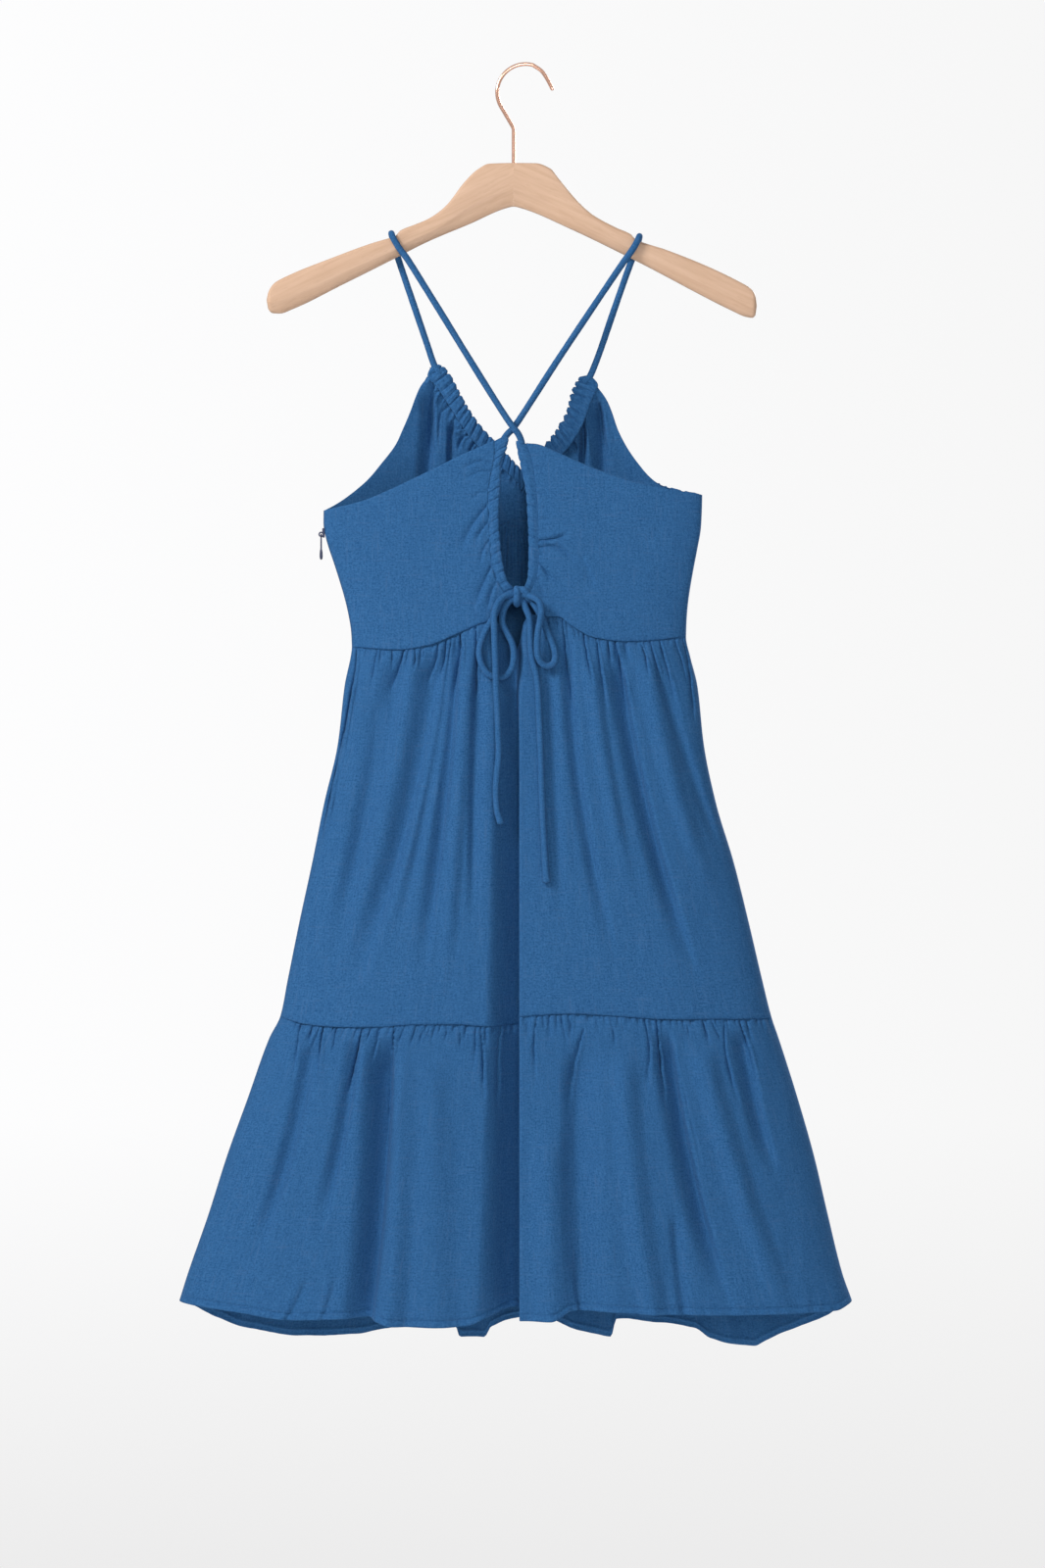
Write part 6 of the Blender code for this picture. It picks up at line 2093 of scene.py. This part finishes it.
@dataclass
class Zip:
    """The closed zip's slider and its moulded pull tab, at the left side seam."""

    groups: Groups
    pivot: tuple[float, float] = (-174.4, 424.5)
    eye_wire: float = 1.15
    eye_wide: float = 3.5
    eye_drops: tuple[float, float, float] = (0.8, 2.8, 4.4)
    squareness: float = 0.6
    body_rows: Rows = (
        (2.9, 1, 3), (3.6, 1.3, 4.2), (6, 1.4, 4.6), (12.6, 1.5, 4.6), (15.4, 2.4, 4.7),
        (19.6, 2.8, 4.8), (21.8, 2.3, 4.2), (22.7, 1.4, 2.8), (23, 0.5, 1.2),
    )

    def tab(self) -> bpy.types.Object:
        """The pull tab: an eye of wire round the slider's bridge, and a body that thickens.

        Returns:
            The tab.
        """
        x, drop = self.pivot
        half = 0.5 * self.eye_wide
        top, middle, low = (drop + below for below in self.eye_drops)
        eye = Route(((x, -0.5 * half, low), (x, -half, middle), (x, -half, top), (x, 0.0, drop),
                     (x, half, top), (x, half, middle), (x, 0.5 * half, low)))
        loop = wire("tab_eye", eye.at(np.linspace(0.0, 1.0, 32)), self.eye_wire)
        rows = np.array(self.body_rows)
        down = np.linspace(rows[0, 0], rows[-1, 0], 44)
        thick, broad = Table(rows[:, (0, 1)]).at(down), Table(rows[:, (0, 2)]).at(down)
        angle = np.linspace(0.0, 2.0 * math.pi, 28, endpoint=False)
        round_x = np.sign(np.cos(angle)) * np.abs(np.cos(angle)) ** self.squareness
        round_y = np.sign(np.sin(angle)) * np.abs(np.sin(angle)) ** self.squareness
        rings = np.stack(np.broadcast_arrays(
            x + 0.5 * thick[:, None] * round_x, 0.5 * broad[:, None] * round_y,
            drop + down[:, None]), axis=-1)
        weave = np.zeros((len(down), len(angle) + 1, 2))
        body = grid_object("tab_body", place(rings), weave, closed=True, caps=True)
        point_out(body)
        return join_objects("moulded_pull", [body, loop])

    def build(self) -> None:
        """Coat the slider, and make the tab."""
        coat = MetalFinish("coated_zip", (0.028, 0.038, 0.090), 0.3, 0.3, 0.2)
        material = coat.material(self.groups)
        wear(bpy.data.objects["zip_slider"], material)
        tab = self.tab()
        wear(tab, material)
        hand_over(tab, "zip", "zip_pull", body=PULL_BODY)


@dataclass
class Studio:
    """A pale floor, soft light from the upper left, a backdrop with painted light falloff and
    painted shade, and the camera.
    """

    camera_at: tuple[float, float, float] = (-0.0028, -3.0, -0.6507)
    lens: float = 76.0
    sensor: float = 36.0
    aim: tuple[float, float, float] = (0.0, 0.0, -0.65)
    # The backdrop's colours are painted light and shade: lit at the left, dimmer at the right, and
    # painted shade low down
    backdrop_painted_lit_left: tuple[float, float, float, float] = (0.985, 0.985, 0.99, 1.0)
    backdrop_painted_dim_right: tuple[float, float, float, float] = (0.925, 0.925, 0.925, 1.0)
    backdrop_painted_shade_low: tuple[float, float, float, float] = (0.82, 0.817, 0.817, 1.0)
    painted_falloff_span: tuple[float, float] = (-0.17, 0.17)
    painted_shade_span: tuple[float, float] = (-0.1, -0.25)
    wall_gleam: float = 0.45
    sky: tuple[float, float, float, float] = (0.93, 0.96, 1.0, 1.0)
    sky_strength: float = 0.25
    floor_colour: tuple[float, float, float, float] = (0.86, 0.86, 0.86, 1.0)
    floor_drop: float = 1.5
    floor_low: tuple[float, float] = (-2.4, -3.4)
    floor_high: tuple[float, float] = (2.4, 0.52)
    lights: tuple[tuple[str, tuple[float, float, float], float, float], ...] = (
        ("key", (-2.1, -1.9, 1.4), 1.1, 90.0),
        ("front", (0.25, -3.3, -0.2), 1.0, 25.0),
        ("behind", (1.7, 2.3, 0.9), 1.2, 75.0),
    )

    def camera(self) -> None:
        """Stand the camera square to the dress's back."""
        data = bpy.data.cameras.new("camera")
        data.lens = self.lens
        data.sensor_width = self.sensor
        obj = add_object("camera", data)
        obj.location = self.camera_at
        obj.rotation_euler = (math.radians(90.0), 0.0, 0.0)
        bpy.context.scene.camera = obj

    def floor(self) -> None:
        """Lay the floor below the dress."""
        (x0, y0), (x1, y1) = self.floor_low, self.floor_high
        z = -self.floor_drop
        mesh = bpy.data.meshes.new("floor")
        mesh.from_pydata([(x0, y0, z), (x1, y0, z), (x1, y1, z), (x0, y1, z)], [],
                         [(0, 1, 2, 3)])
        floor = add_object("floor", mesh)
        material, board, shader = new_material("pale_floor")
        board.connect(shader, {"Base Color": self.floor_colour, "Roughness": 0.9})
        wear(floor, material)

    def light(self) -> None:
        """Set the lamps and the pale surroundings, whose backdrop has painted light: lighter at the
        left, dimmer at the right, with painted shade low down.
        """
        for name, spot, size, watts in self.lights:
            data = bpy.data.lights.new(name, "AREA")
            data.size = size
            data.energy = watts
            lamp = add_object(name, data)
            lamp.location = spot
            aim = Vector(self.aim) - Vector(spot)
            lamp.rotation_mode = "QUATERNION"
            lamp.rotation_quaternion = aim.to_track_quat("-Z", "Y")
        world = bpy.data.worlds.new("surroundings")
        bpy.context.scene.world = world
        world.use_nodes = True
        tree = world.node_tree
        tree.nodes.clear()
        board = Board(tree)
        way = board.add("ShaderNodeSeparateXYZ", {
            0: board.add("ShaderNodeTexCoord").outputs["Generated"]})
        # Painted light falloff across the backdrop, and painted shade towards its foot
        across = board.between(way.outputs["X"], *self.painted_falloff_span)
        below = board.between(way.outputs["Z"], *self.painted_shade_span)
        wall = board.mix(across, self.backdrop_painted_lit_left, self.backdrop_painted_dim_right)
        painted_backdrop = board.add("ShaderNodeBackground", {
            "Color": board.mix(below, wall, self.backdrop_painted_shade_low), "Strength": 1.0})
        around = board.add("ShaderNodeBackground", {"Color": self.sky,
                                                    "Strength": self.sky_strength})
        path = board.add("ShaderNodeLightPath")
        shown = board.plus(path.outputs["Is Camera Ray"],
                           board.times(path.outputs["Is Glossy Ray"], self.wall_gleam))
        both = board.add("ShaderNodeMixShader", {0: shown, 1: around.outputs[0],
                                                 2: painted_backdrop.outputs[0]})
        board.add("ShaderNodeOutputWorld", {"Surface": both.outputs[0]})

    def build(self) -> None:
        """Set up the studio."""
        self.camera()
        self.floor()
        self.light()
        bpy.context.scene.view_settings.view_transform = "Standard"


def main() -> None:
    """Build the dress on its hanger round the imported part."""
    logging.basicConfig(level=logging.INFO, format="%(name)s: %(message)s")
    for obj in list(bpy.data.objects):
        bpy.data.objects.remove(obj)
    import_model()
    groups = Groups()
    Studio().build()
    Dress(groups).build()
    Zip(groups).build()
    Hanger().build(groups)


if __name__ == "__main__":
    main()
